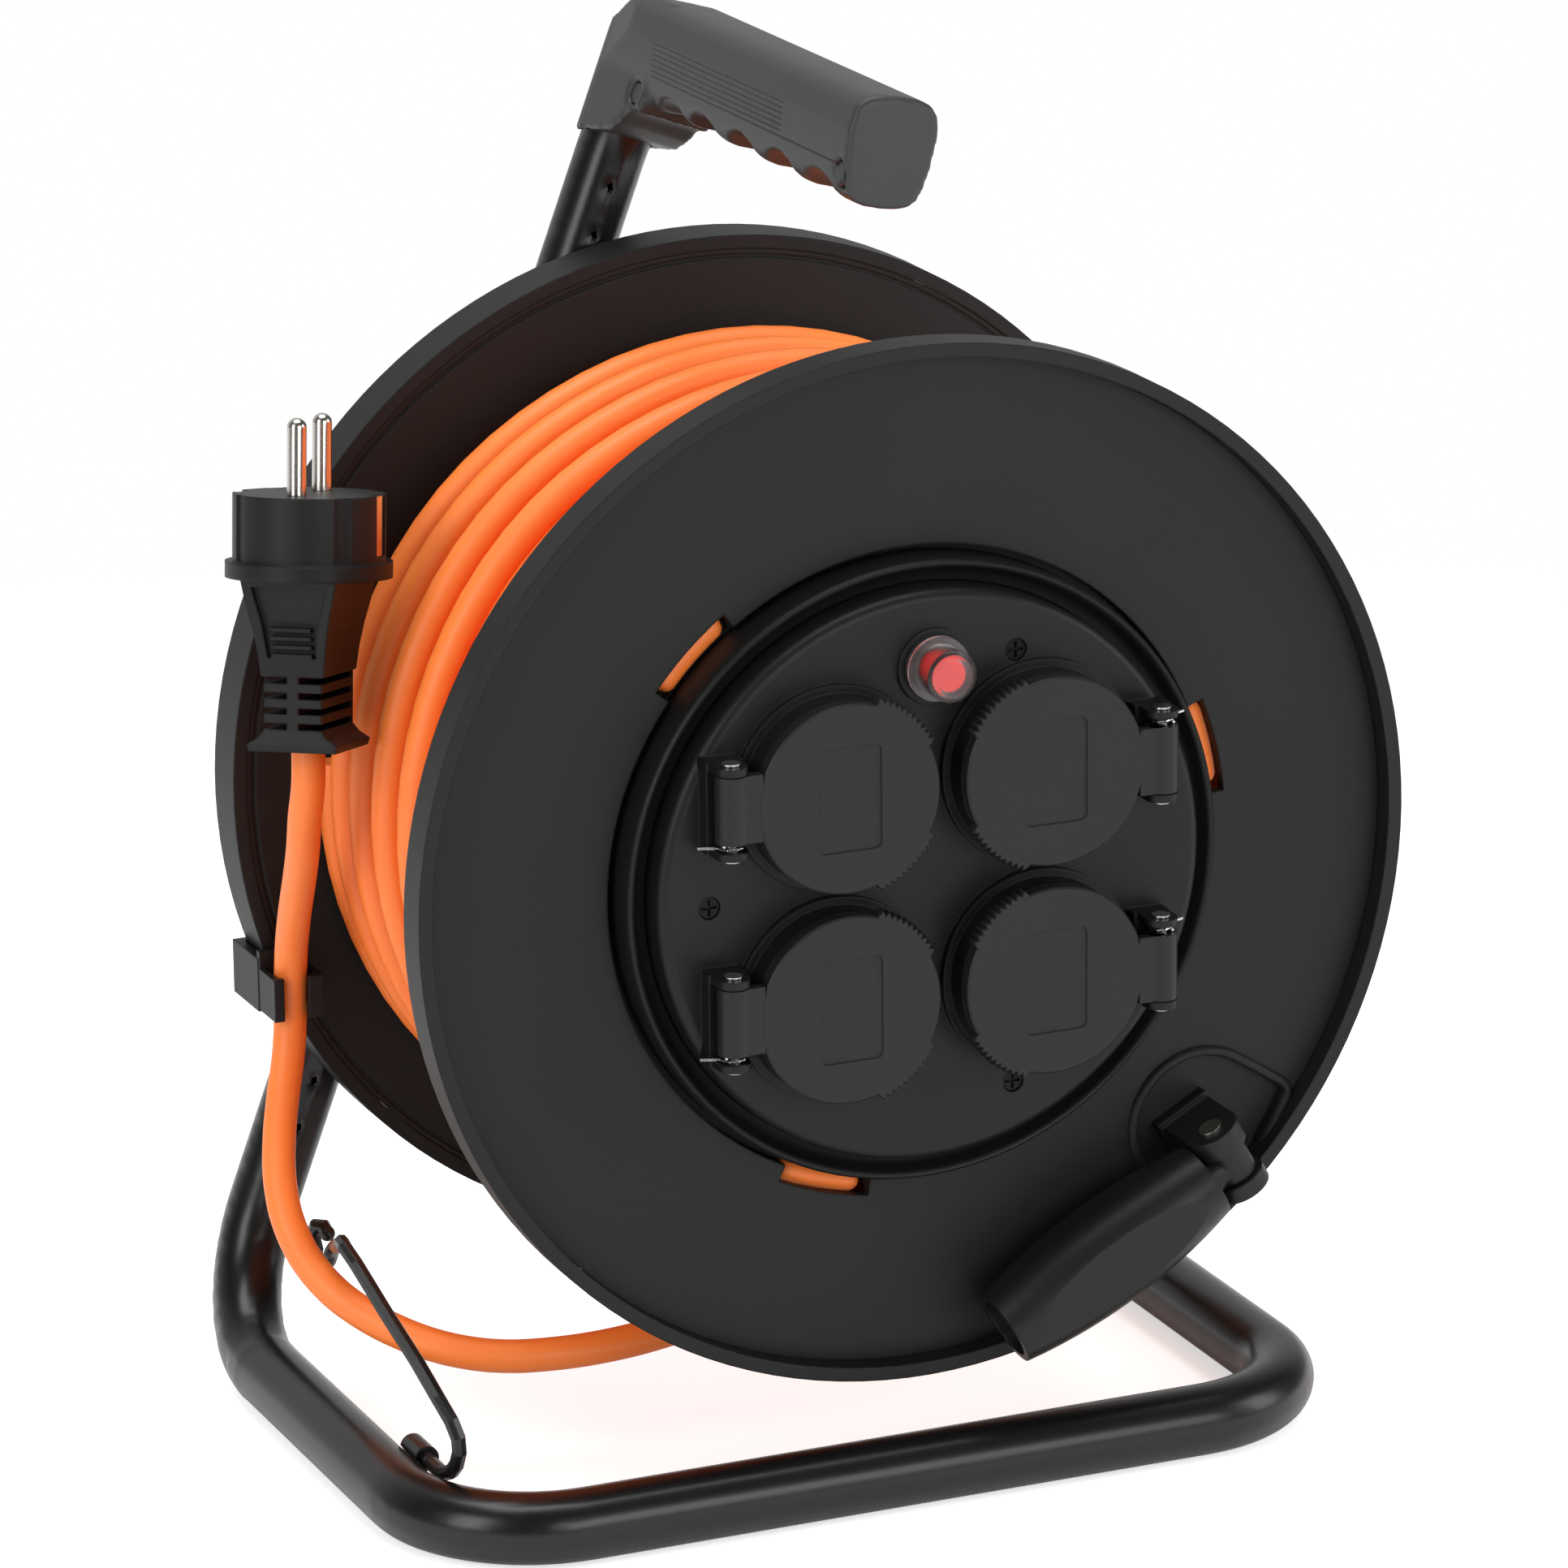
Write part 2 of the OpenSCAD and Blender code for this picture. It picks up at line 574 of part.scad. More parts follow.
module flange_screws() {
  color([0.7, 0.7, 0.72]) place() flange_screw_places() {
    ycyl(floor_y - 2.4, floor_y + 22, 2.25);
    ycyl(floor_y - 4.9, floor_y - 2.6, 3.6);
    ycyl(floor_y - 3, floor_y - 2, 2.25);
    ycyl(rear_y - 22, rear_y + 3, 2.25);
    ycyl(rear_y + 2.6, rear_y + 5, 3.9);
  }
}
module hub_bushes() {
  color([0.75, 0.7, 0.55]) place() {
    difference() {
      union() {
        ycyl(54, 69.6, 10.45);
        ycyl(68.7, 69.6, 13.5);
      }
      ycyl(50, 72, axle_r + axle_gap);
    }
    difference() {
      union() {
        ycyl(-15.2, 0, 10.45);
        ycyl(-15.2, -14.1, 13.5);
      }
      ycyl(-18, 2, axle_r + axle_gap);
    }
  }
}
module cable_layers() {
  color([0.95, 0.38, 0.14]) place() union() {
    yring(floor_y + 0.3, rear_y - 0.3, core_r, barrel_r + 0.4);
    rotate([0, 200, 0]) rod([56, 40, 0], [barrel_r + 2, 40, 0], cable_r);
  }
}
module cable_winding() {
  steps = floor(wind_turns * 24);
  pts = [for (i = [0:steps]) let (a = -60 - 15 * i) [layer_r * cos(a), wind_y0 + pitch * i / 24, layer_r * sin(a)]];
  color([1, 0.4, 0.15]) place() wire_along(pts, cable_r, 6, [cos(-60), 0, sin(-60)]);
}

// ---------- socket panel ----------
module socket_places() {
  for (x = [-1, 1], z = [-1, 1]) at(x * sock_x, z * sock_z) children();
}
// left side layout, turned half a turn for the right side
module four_hinges() {
  for (t = [0, 180], z = [-1, 1]) rotate([0, t, 0]) translate([-hinge_x, hinge_y, z * sock_z]) children();
}
module panel_body() {
  ycyl(panel_y, panel_y + panel_t, panel_r - 3);
  translate([0, panel_y + 3, 0]) rotate([90, 0, 0]) rotate_extrude() translate([panel_r - 3, 0]) circle(r = 3);
  yring(panel_y + 3, -64, panel_r, panel_r - 3);
  socket_places() ycyl(panel_y - 2, panel_y + 1, 25.5);
  socket_places() ycyl(collar_y, panel_y + 1, collar_r);
  for (a = panel_screw_a) polar(panel_screw_r, a) ycyl(panel_y + 1, floor_y - 3.7, 4.2);
  four_hinges() {
    box(-4.5, 5, 4.5, 10, -11.5, 11.3);
    box(-4, 4, 0, 10, 9.3, 11.3);
    box(-4, 4, 0, 10, -11.5, -9.7);
    translate([0, 0, 9.3]) cylinder(r = 4, h = 2);
    translate([0, 0, -11.5]) cylinder(r = 4, h = 1.8);
  }
  at(0, breaker_z) ycyl(panel_y - 1.2, panel_y + 1, 9.5);
}
module socket_panel() {
  color([0.1, 0.1, 0.1]) place() difference() {
    panel_body();
    socket_places() ycyl(collar_y - 1, panel_y + 6, insert_r + 0.1);
    at(0, breaker_z) ycyl(panel_y - 2, panel_y + 6, 6.3);
    for (a = panel_screw_a) polar(panel_screw_r, a) {
      ycyl(panel_y - 1, panel_y + 2.4, 2.8);
      ycyl(panel_y, -50, 1.7);
    }
    four_hinges() translate([0, 0, -13]) cylinder(r = hinge_pin_r + 0.03, h = 26);
  }
}
module panel_screws() {
  color([0.6, 0.6, 0.62]) place() for (a = panel_screw_a) polar(panel_screw_r, a) difference() {
    union() {
      ycyl(panel_y + 0.5, panel_y + 2.3, 2.6);
      ycyl(panel_y + 2, floor_y + 4, 1.5);
    }
    box(-2, 2, panel_y, panel_y + 1.3, -0.35, 0.35);
    box(-0.35, 0.35, panel_y, panel_y + 1.3, -2, 2);
  }
}
module insert_shape() {
  recess_floor = collar_y + recess_depth;
  difference() {
    union() {
      ycyl(collar_y + 0.3, -46, insert_r - 0.1);
      ycyl(panel_y + panel_t + 0.1, panel_y + panel_t + 3, insert_r + 2.4);
    }
    ycyl(collar_y - 1, recess_floor, recess_r);
    for (s = [-1, 1]) at(0, s * contact_pitch / 2) {
      ycyl(recess_floor - 1, -45, hole_r);
      ycyl(recess_floor + 6, -45, hole_r + 1);
    }
    for (s = [-1, 1]) box(s * 18.4 - 0.8, s * 18.4 + 0.8, recess_floor - 1, recess_floor + 4.2, -2.8, 2.8);
    ycyl(-50, -40, 7);
  }
}
module socket_insert_1() { color([0.12, 0.12, 0.12]) place() at(-sock_x, sock_z) insert_shape(); }
module socket_insert_2() { color([0.12, 0.12, 0.12]) place() at(sock_x, sock_z) insert_shape(); }
module socket_insert_3() { color([0.12, 0.12, 0.12]) place() at(-sock_x, -sock_z) insert_shape(); }
module socket_insert_4() { color([0.12, 0.12, 0.12]) place() at(sock_x, -sock_z) insert_shape(); }
module socket_contacts() {
  color([0.8, 0.65, 0.3]) place() socket_places() for (s = [-1, 1]) at(0, s * contact_pitch / 2) {
    yring(collar_y + recess_depth + 6.2, -46.2, hole_r + 0.9, hole_r);
  }
}
module socket_earth_clips() {
  color([0.8, 0.78, 0.72]) place() socket_places() for (s = [-1, 1]) {
    x = s * 18.4;
    box(x - 0.5, x + 0.5, collar_y + 3, collar_y + recess_depth + 4, -2.5, 2.5);
  }
}
module bus_bars() {
  y0 = -45.9;
  y1 = -44.9;
  p = contact_pitch / 2;
  color([0.8, 0.65, 0.3]) place() {
    // live and neutral strips, one for each row of contacts
    box(-sock_x - 3, 44, y0, y1, sock_z + p - 2.5, sock_z + p + 2.5);
    box(-sock_x - 3, 44, y0, y1, -sock_z + p - 2.5, -sock_z + p + 2.5);
    box(40, 44, y0, y1, -sock_z + p - 2.5, sock_z + p + 2.5);
    box(-44, sock_x + 3, y0, y1, sock_z - p - 2.5, sock_z - p + 2.5);
    box(-44, sock_x + 3, y0, y1, -sock_z - p - 2.5, -sock_z - p + 2.5);
    box(-44, -40, y0, y1, -sock_z - p - 2.5, sock_z - p + 2.5);
  }
}
module breaker_body() {
  color([0.14, 0.14, 0.15]) place() at(0, breaker_z) difference() {
    union() {
      box(-10.5, 10.5, panel_y + panel_t + 0.1, -50, -9.6, 10.5);
      ycyl(panel_y - 2.2, panel_y + 4, 6.2);
      yring(panel_y - 2.6, panel_y - 1.4, 8, 6);
      box(-6, -4, -50.5, -45, -5, 5);
      box(4, 6, -50.5, -45, -5, 5);
    }
    ycyl(panel_y - 4, -72, 4.05);
    ycyl(-73, -58, 5);
  }
}
module breaker_boot() {
  color([0.8, 0.8, 0.8, 0.5]) place() at(0, breaker_z) difference() {
    union() {
      ycyl(-89, panel_y - 2.8, 6.4);
      translate([0, -89, 0]) rotate([90, 0, 0]) cylinder(r1 = 6.4, r2 = 4.6, h = 1.6);
      ycyl(panel_y - 3.6, panel_y - 2.8, 8);
    }
    ycyl(-89.4, panel_y - 1, 5.4);
  }
}
module reset_button() {
  color([0.8, 0.08, 0.05]) place() at(0, breaker_z) union() {
    ycyl(-87.6, -68, 4);
    ycyl(-71.8, -68, 4.8);
  }
}
module reset_spring() {
  n = 8;
  steps = 5 * n;
  pts = [for (i = [0:steps]) [3.4 * cos(i * 360 / n), -67.6 + 9.1 * i / steps, 3.4 * sin(i * 360 / n)]];
  color([0.7, 0.7, 0.72]) place() at(0, breaker_z) wire_along(pts, 0.35, 6, [1, 0, 0]);
}
// a left lid, about its socket centre, hinge at -X
module lid_shape() {
  reach = hinge_x - sock_x;
  difference() {
    union() {
      ycyl(lid_y, hinge_y, lid_r);
      sector(lid_y, hinge_y, 20, lid_r + 2, 28, 44);
      sector(lid_y, hinge_y, 20, lid_r + 2, -72, 44);
      box(-reach, -18, lid_y, hinge_y, -7.6, 9);
      translate([-reach, hinge_y, -7.6]) cylinder(r = 4, h = 16.6);
    }
    translate([-reach, hinge_y, -9]) cylinder(r = hinge_pin_r + hinge_gap, h = 20);
    yring(hinge_y - 1.5, hinge_y + 1, 22.9, 20.4);
    box(-8.2, 8.2, lid_y - 1, lid_y + 0.5, -13, 13);
  }
}
module seal_shape() {
  yring(hinge_y - 1.45, hinge_y + 0.2, 22.8, 20.5);
}
module lid_place(n) {
  turn = (n == 2 || n == 4) ? 180 : 0;
  up = (n == 1 || n == 4) ? 1 : -1;
  rotate([0, turn, 0]) at(-sock_x, up * sock_z) children();
}
module lid_1() { color([0.11, 0.11, 0.11]) place() lid_place(1) lid_shape(); }
module lid_2() { color([0.11, 0.11, 0.11]) place() lid_place(2) lid_shape(); }
module lid_3() { color([0.11, 0.11, 0.11]) place() lid_place(3) lid_shape(); }
module lid_4() { color([0.11, 0.11, 0.11]) place() lid_place(4) lid_shape(); }
module lid_seal_1() { color([0.2, 0.2, 0.2]) place() lid_place(1) seal_shape(); }
module lid_seal_2() { color([0.2, 0.2, 0.2]) place() lid_place(2) seal_shape(); }
module lid_seal_3() { color([0.2, 0.2, 0.2]) place() lid_place(3) seal_shape(); }
module lid_seal_4() { color([0.2, 0.2, 0.2]) place() lid_place(4) seal_shape(); }
module hinge_pins() {
  color([0.7, 0.7, 0.72]) place() four_hinges() {
    translate([0, 0, -11.8]) cylinder(r = hinge_pin_r, h = 23.5);
    translate([0, 0, -12.2]) cylinder(r = 2.3, h = 0.6);
    translate([0, 0, 11.4]) cylinder(r = 2.3, h = 0.6);
  }
}
module lid_springs() {
  n = 8;
  coil = [for (i = [0:n]) let (a = 180 - 360 * i / n) [2.5 * cos(a), 2.5 * sin(a), -8.1 - 1.05 * i / n]];
  pts = concat([[-2.5, -1.4, -8.1]], coil, [[-3, 1.6, -9.2], [-5.4, 2.6, -9.2], [-7.4, 3.4, -9.2]]);
  color([0.75, 0.75, 0.76]) place() four_hinges() wire_along(pts, 0.4, 6, [1, 0, 0]);
}

// ---------- crank ----------
module in_crank() {
  translate(crank_at) rotate([0, crank_turn, 0]) children();
}
module ear(z0, z1) {
  foot = face_y + 2.4 - crank_at[1];
  translate([0, 0, z0]) cylinder(r = 7, h = z1 - z0);
  box(-6.8, 6.8, 0, foot, z0, z1);
}
module crank_bracket() {
  foot = face_y + 2.4 - crank_at[1];
  color([0.07, 0.07, 0.07]) place() in_crank() difference() {
    union() {
      ear(-10.9, -5.4);
      ear(3.9, 8);
      box(-7, 8, foot - 3.4, foot, -12.5, 8);
    }
    translate([0, 0, -14]) cylinder(r = crank_pin_r + 0.03, h = 28);
  }
}
module crank_pin() {
  color([0.6, 0.58, 0.5]) place() in_crank() translate([0, 0, -11.4]) cylinder(r = crank_pin_r, h = 19.8);
}
module crank_spindle() {
  color([0.09, 0.09, 0.09]) place() in_crank() difference() {
    union() {
      translate([0, 0, -5]) cylinder(r = 5.6, h = 8.5);
      intersection() {
        rod([0, 0, 0], [grip_start - 0.1, 0, 0], 5);
        box(0, grip_start, -6, 6, -5, 3.5);
      }
      rod([grip_start - 0.2, 0, 0], [spindle_end, 0, 0], spindle_r);
    }
    translate([0, 0, -6]) cylinder(r = crank_pin_r + 0.07, h = 12);
    rod([spindle_end - 14, 0, 0], [spindle_end + 1, 0, 0], 1.6);
  }
}
module grip_washer() {
  color([0.7, 0.7, 0.72]) place() in_crank() difference() {
    rod([spindle_end + 0.05, 0, 0], [spindle_end + 1.25, 0, 0], 6.6);
    rod([spindle_end - 1, 0, 0], [spindle_end + 2, 0, 0], 1.8);
  }
}
module grip_screw() {
  color([0.7, 0.7, 0.72]) place() in_crank() union() {
    rod([spindle_end - 11, 0, 0], [spindle_end + 1.5, 0, 0], 1.55);
    rod([spindle_end + 1.3, 0, 0], [spindle_end + 3.3, 0, 0], 3.4);
  }
}
module crank_grip() {
  big = (pow(grip_len / 2, 2) + pow(grip_bulge, 2)) / (2 * grip_bulge);
  peak = grip_r + grip_bulge;
  arc = [for (i = [0:14]) let (t = -grip_len / 2 + grip_len * i / 14)
    [peak - big + sqrt(big * big - t * t), grip_start + grip_len / 2 + t]];
  color([0.08, 0.08, 0.08]) place() in_crank() rotate([0, 90, 0]) difference() {
    rotate_extrude() polygon(concat([[0.01, grip_start + grip_len], [0.01, grip_start]], arc));
    translate([0, 0, grip_start - 1]) cylinder(r = spindle_r + grip_gap, h = grip_len);
    translate([0, 0, spindle_end - 0.3]) cylinder(r = 7.9, h = 30);
    for (s = [-1, 1]) translate([-20, s * (grip_r + 1.1) - 5 + s * 5, 0]) cube([40, 10, 90]);
  }
}

frame_tube();
axle();
axle_boss();
axle_washer();
axle_circlip();
handle_left();
handle_right();
handle_screws();
guide_bracket();
cable_guide();
supply_lead();
plug_body();
plug_pins();
plug_earth_clips();
cable_clip();
rear_flange();
rear_ribs();
rear_rim();
drum_barrel();
front_flange();
front_rim();
flange_screws();
hub_bushes();
cable_layers();
cable_winding();
socket_panel();
panel_screws();
socket_insert_1();
socket_insert_2();
socket_insert_3();
socket_insert_4();
socket_contacts();
socket_earth_clips();
bus_bars();
breaker_body();
breaker_boot();
reset_button();
reset_spring();
lid_1();
lid_2();
lid_3();
lid_4();
lid_seal_1();
lid_seal_2();
lid_seal_3();
lid_seal_4();
hinge_pins();
lid_springs();
crank_bracket();
crank_pin();
crank_spindle();
grip_washer();
grip_screw();
crank_grip();
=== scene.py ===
"""Looks of an extension cord reel around its packed construction model. Metres, Z up, floor at 0."""
import math

import bmesh
import bpy
from mathutils import Matrix, Vector
from mathutils.geometry import tessellate_polygon


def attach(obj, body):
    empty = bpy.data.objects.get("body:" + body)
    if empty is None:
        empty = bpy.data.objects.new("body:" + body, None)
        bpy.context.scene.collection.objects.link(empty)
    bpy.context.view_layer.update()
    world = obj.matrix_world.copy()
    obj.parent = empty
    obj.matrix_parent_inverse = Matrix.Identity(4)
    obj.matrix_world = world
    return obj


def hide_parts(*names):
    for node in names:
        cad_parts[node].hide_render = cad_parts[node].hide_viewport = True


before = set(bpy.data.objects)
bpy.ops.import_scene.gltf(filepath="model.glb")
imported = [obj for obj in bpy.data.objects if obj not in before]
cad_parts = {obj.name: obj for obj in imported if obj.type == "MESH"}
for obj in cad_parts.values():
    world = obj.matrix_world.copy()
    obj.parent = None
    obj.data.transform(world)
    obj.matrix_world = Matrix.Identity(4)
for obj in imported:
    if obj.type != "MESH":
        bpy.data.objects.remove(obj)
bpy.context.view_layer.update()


# ---------------------------------------------------------------- camera
# A long lens two metres away, turned to the left side and a little down.
lens_mm = 182.9
sensor_mm = 36.0
eye_at = Vector((-0.75193, -1.74547, 0.72920))
eye_turn, eye_tip, eye_roll = math.radians(-23.278), math.radians(16.632), math.radians(-0.55)

back = Vector((
    math.sin(eye_turn) * math.cos(eye_tip),
    -math.cos(eye_turn) * math.cos(eye_tip),
    math.sin(eye_tip),
))
level = (-back).cross(Vector((0, 0, 1))).normalized()
rise = level.cross(-back)
right = math.cos(eye_roll) * level + math.sin(eye_roll) * rise
up = -math.sin(eye_roll) * level + math.cos(eye_roll) * rise
lens = bpy.data.cameras.new("camera")
lens.lens = lens_mm
lens.sensor_width = sensor_mm
lens.clip_end = 50.0
eye = bpy.data.objects.new("camera", lens)
eye.matrix_world = Matrix((
    (right.x, up.x, back.x, eye_at.x),
    (right.y, up.y, back.y, eye_at.y),
    (right.z, up.z, back.z, eye_at.z),
    (0, 0, 0, 1),
))
bpy.context.scene.collection.objects.link(eye)
bpy.context.scene.camera = eye


# ---------------------------------------------------------------- supply lead
# The free end of the three core cable: an orange PVC jacket of 8.4 mm, extruded smooth. It leaves the
# underside of the winding, lies past the wire guide and goes up through the rim clip to the plug.
drum_axis = Vector((0.00375, -0.00155, 0.159))
cable_d = 0.0084
plug_at = Vector((-0.121, 0.0231, 0.0616))
plug_up = Vector((0.087, 0.152, 0.9845)).normalized()
plug_tail = 0.0394
lead_mm = [
    (34.5, -24, -109), (24.5, -24, -111.3), (10, -24, -114.6), (-5, -24, -118),
    (-20, -24, -121.2), (-35, -24, -124.2), (-50, -24, -126.8), (-60, -24, -127.9),
    (-70, -23.5, -128.5), (-79, -22.3, -128.7), (-88, -20, -128.7), (-96, -16.3, -128.2),
    (-104, -11.2, -126.8), (-111, -5, -124.6), (-117.8, 2.5, -121.3), (-124, 10.5, -116.3),
    (-128.6, 18, -109.2), (-130.6, 25, -100.7), (-130, 31.5, -91.8), (-127.6, 37.5, -83.2),
    (-124.4, 43, -74.9), (-121.4, 47, -66.6), (-119.6, 49.7, -58.5), (-119, 50.5, -49),
    (-119.3, 48, -37.9), (-120.6, 41.2, -26.8), (-122.1, 32.9, -15.7), (-123.9, 24.6, -5.4), (-125.2, 19, 4.4),
]


class Socket:
    """One output of a node. Sums written with it add Math nodes to its material."""

    def __init__(self, shader, socket):
        self.shader, self.socket = shader, socket

    def _maths(self, operation, a, b):
        return self.shader.node("ShaderNodeMath", {"operation": operation}, {0: a, 1: b})

    def __add__(self, other):
        return self._maths("ADD", self, other)

    def __radd__(self, other):
        return self._maths("ADD", other, self)

    def __sub__(self, other):
        return self._maths("SUBTRACT", self, other)

    def __rsub__(self, other):
        return self._maths("SUBTRACT", other, self)

    def __mul__(self, other):
        return self._maths("MULTIPLY", self, other)

    def __rmul__(self, other):
        return self._maths("MULTIPLY", other, self)

    def __gt__(self, other):
        return self._maths("GREATER_THAN", self, other)


class Shader:
    """A material made node by node."""

    def __init__(self, name):
        self.material = bpy.data.materials.new(name)
        self.material.use_nodes = True
        self.tree = self.material.node_tree
        self.tree.nodes.clear()

    def node(self, kind, settings=None, sockets=None, out=0):
        made = self.tree.nodes.new(kind)
        for key, value in (settings or {}).items():
            setattr(made, key, value)
        for key, value in (sockets or {}).items():
            if isinstance(value, Socket):
                self.tree.links.new(value.socket, made.inputs[key])
            else:
                made.inputs[key].default_value = value
        return Socket(self, made.outputs[out])

    def noise(self, size, detail=3.0, rough=0.55, seed=0.0):
        """Noise whose blobs measure size metres."""
        spot = self.node("ShaderNodeTexCoord", out="Object")
        spot = self.node("ShaderNodeMapping", None, {"Vector": spot, "Location": (seed, seed, seed)})
        return self.node("ShaderNodeTexNoise", None,
                         {"Vector": spot, "Scale": 1 / size, "Detail": detail, "Roughness": rough})

    def blend(self, factor, a, b):
        """A colour between a and b."""
        return self.node("ShaderNodeMix", {"data_type": "RGBA"}, {0: factor, 6: a, 7: b}, out=2)

    def rounded(self, radius, height, depth, strength):
        """The normal of softly rounded edges, with a height pattern of this depth on top."""
        normal = self.node("ShaderNodeBevel", {"samples": 4}, {"Radius": radius})
        return self.node("ShaderNodeBump", None,
                         {"Strength": strength, "Distance": depth, "Height": height, "Normal": normal})

    def surface(self, **sockets):
        """Ends the material in a Principled shader."""
        names = {key.replace("_", " "): value for key, value in sockets.items()}
        self.node_end(self.node("ShaderNodeBsdfPrincipled", None, names))
        return self.material

    def node_end(self, shade):
        """Ends the material in this shader."""
        end = self.tree.nodes.new("ShaderNodeOutputMaterial")
        self.tree.links.new(shade.socket, end.inputs["Surface"])


def jacket_orange():
    """PVC jacket: soft satin orange, a little uneven in tone, with faint draw marks."""
    shade = Shader("cable jacket")
    tone = shade.noise(0.03, 2.0)
    marks = shade.noise(0.0011, 3.0)
    colour = shade.blend(tone, (0.90, 0.192, 0.028, 1), (0.96, 0.228, 0.040, 1))
    return shade.surface(
        Base_Color=colour,
        Roughness=0.40 + 0.12 * marks,
        Normal=shade.node("ShaderNodeBump", None, {"Strength": 0.35, "Distance": 0.00012, "Height": marks}),
        IOR=1.48,
    )


def smooth_route(points, steps=8):
    """A Catmull-Rom line through the points, as a list of vectors."""
    ends = [2 * points[0] - points[1], *points, 2 * points[-1] - points[-2]]
    route = []
    for a, b, c, d in zip(ends, ends[1:], ends[2:], ends[3:]):
        for k in range(steps):
            t = k / steps
            route.append(0.5 * (2 * b + (c - a) * t + (2 * a - 5 * b + 4 * c - d) * t ** 2
                                + (3 * b - a - 3 * c + d) * t ** 3))
    return [*route, points[-1]]


jacket = jacket_orange()
lead_end = plug_at - plug_tail * plug_up
straight_in = 0.009
lead_points = [Vector(p) / 1000 for p in lead_mm] + [lead_end - straight_in * plug_up, lead_end]
lead_route = smooth_route([drum_axis + p for p in lead_points])
line = bpy.data.curves.new("supply_lead_jacket", "CURVE")
line.dimensions = "3D"
line.bevel_depth = cable_d / 2
line.bevel_resolution = 8
line.use_fill_caps = True
spline = line.splines.new("POLY")
spline.points.add(len(lead_route) - 1)
for point, spot in zip(spline.points, lead_route):
    point.co = (*spot, 1)
spline.use_smooth = True
line.materials.append(jacket)
lead = bpy.data.objects.new("supply_lead_jacket", line)
bpy.context.scene.collection.objects.link(lead)
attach(lead, "stand")
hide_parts("supply_lead")
lead_length = sum((b - a).length for a, b in zip(lead_route, lead_route[1:]))


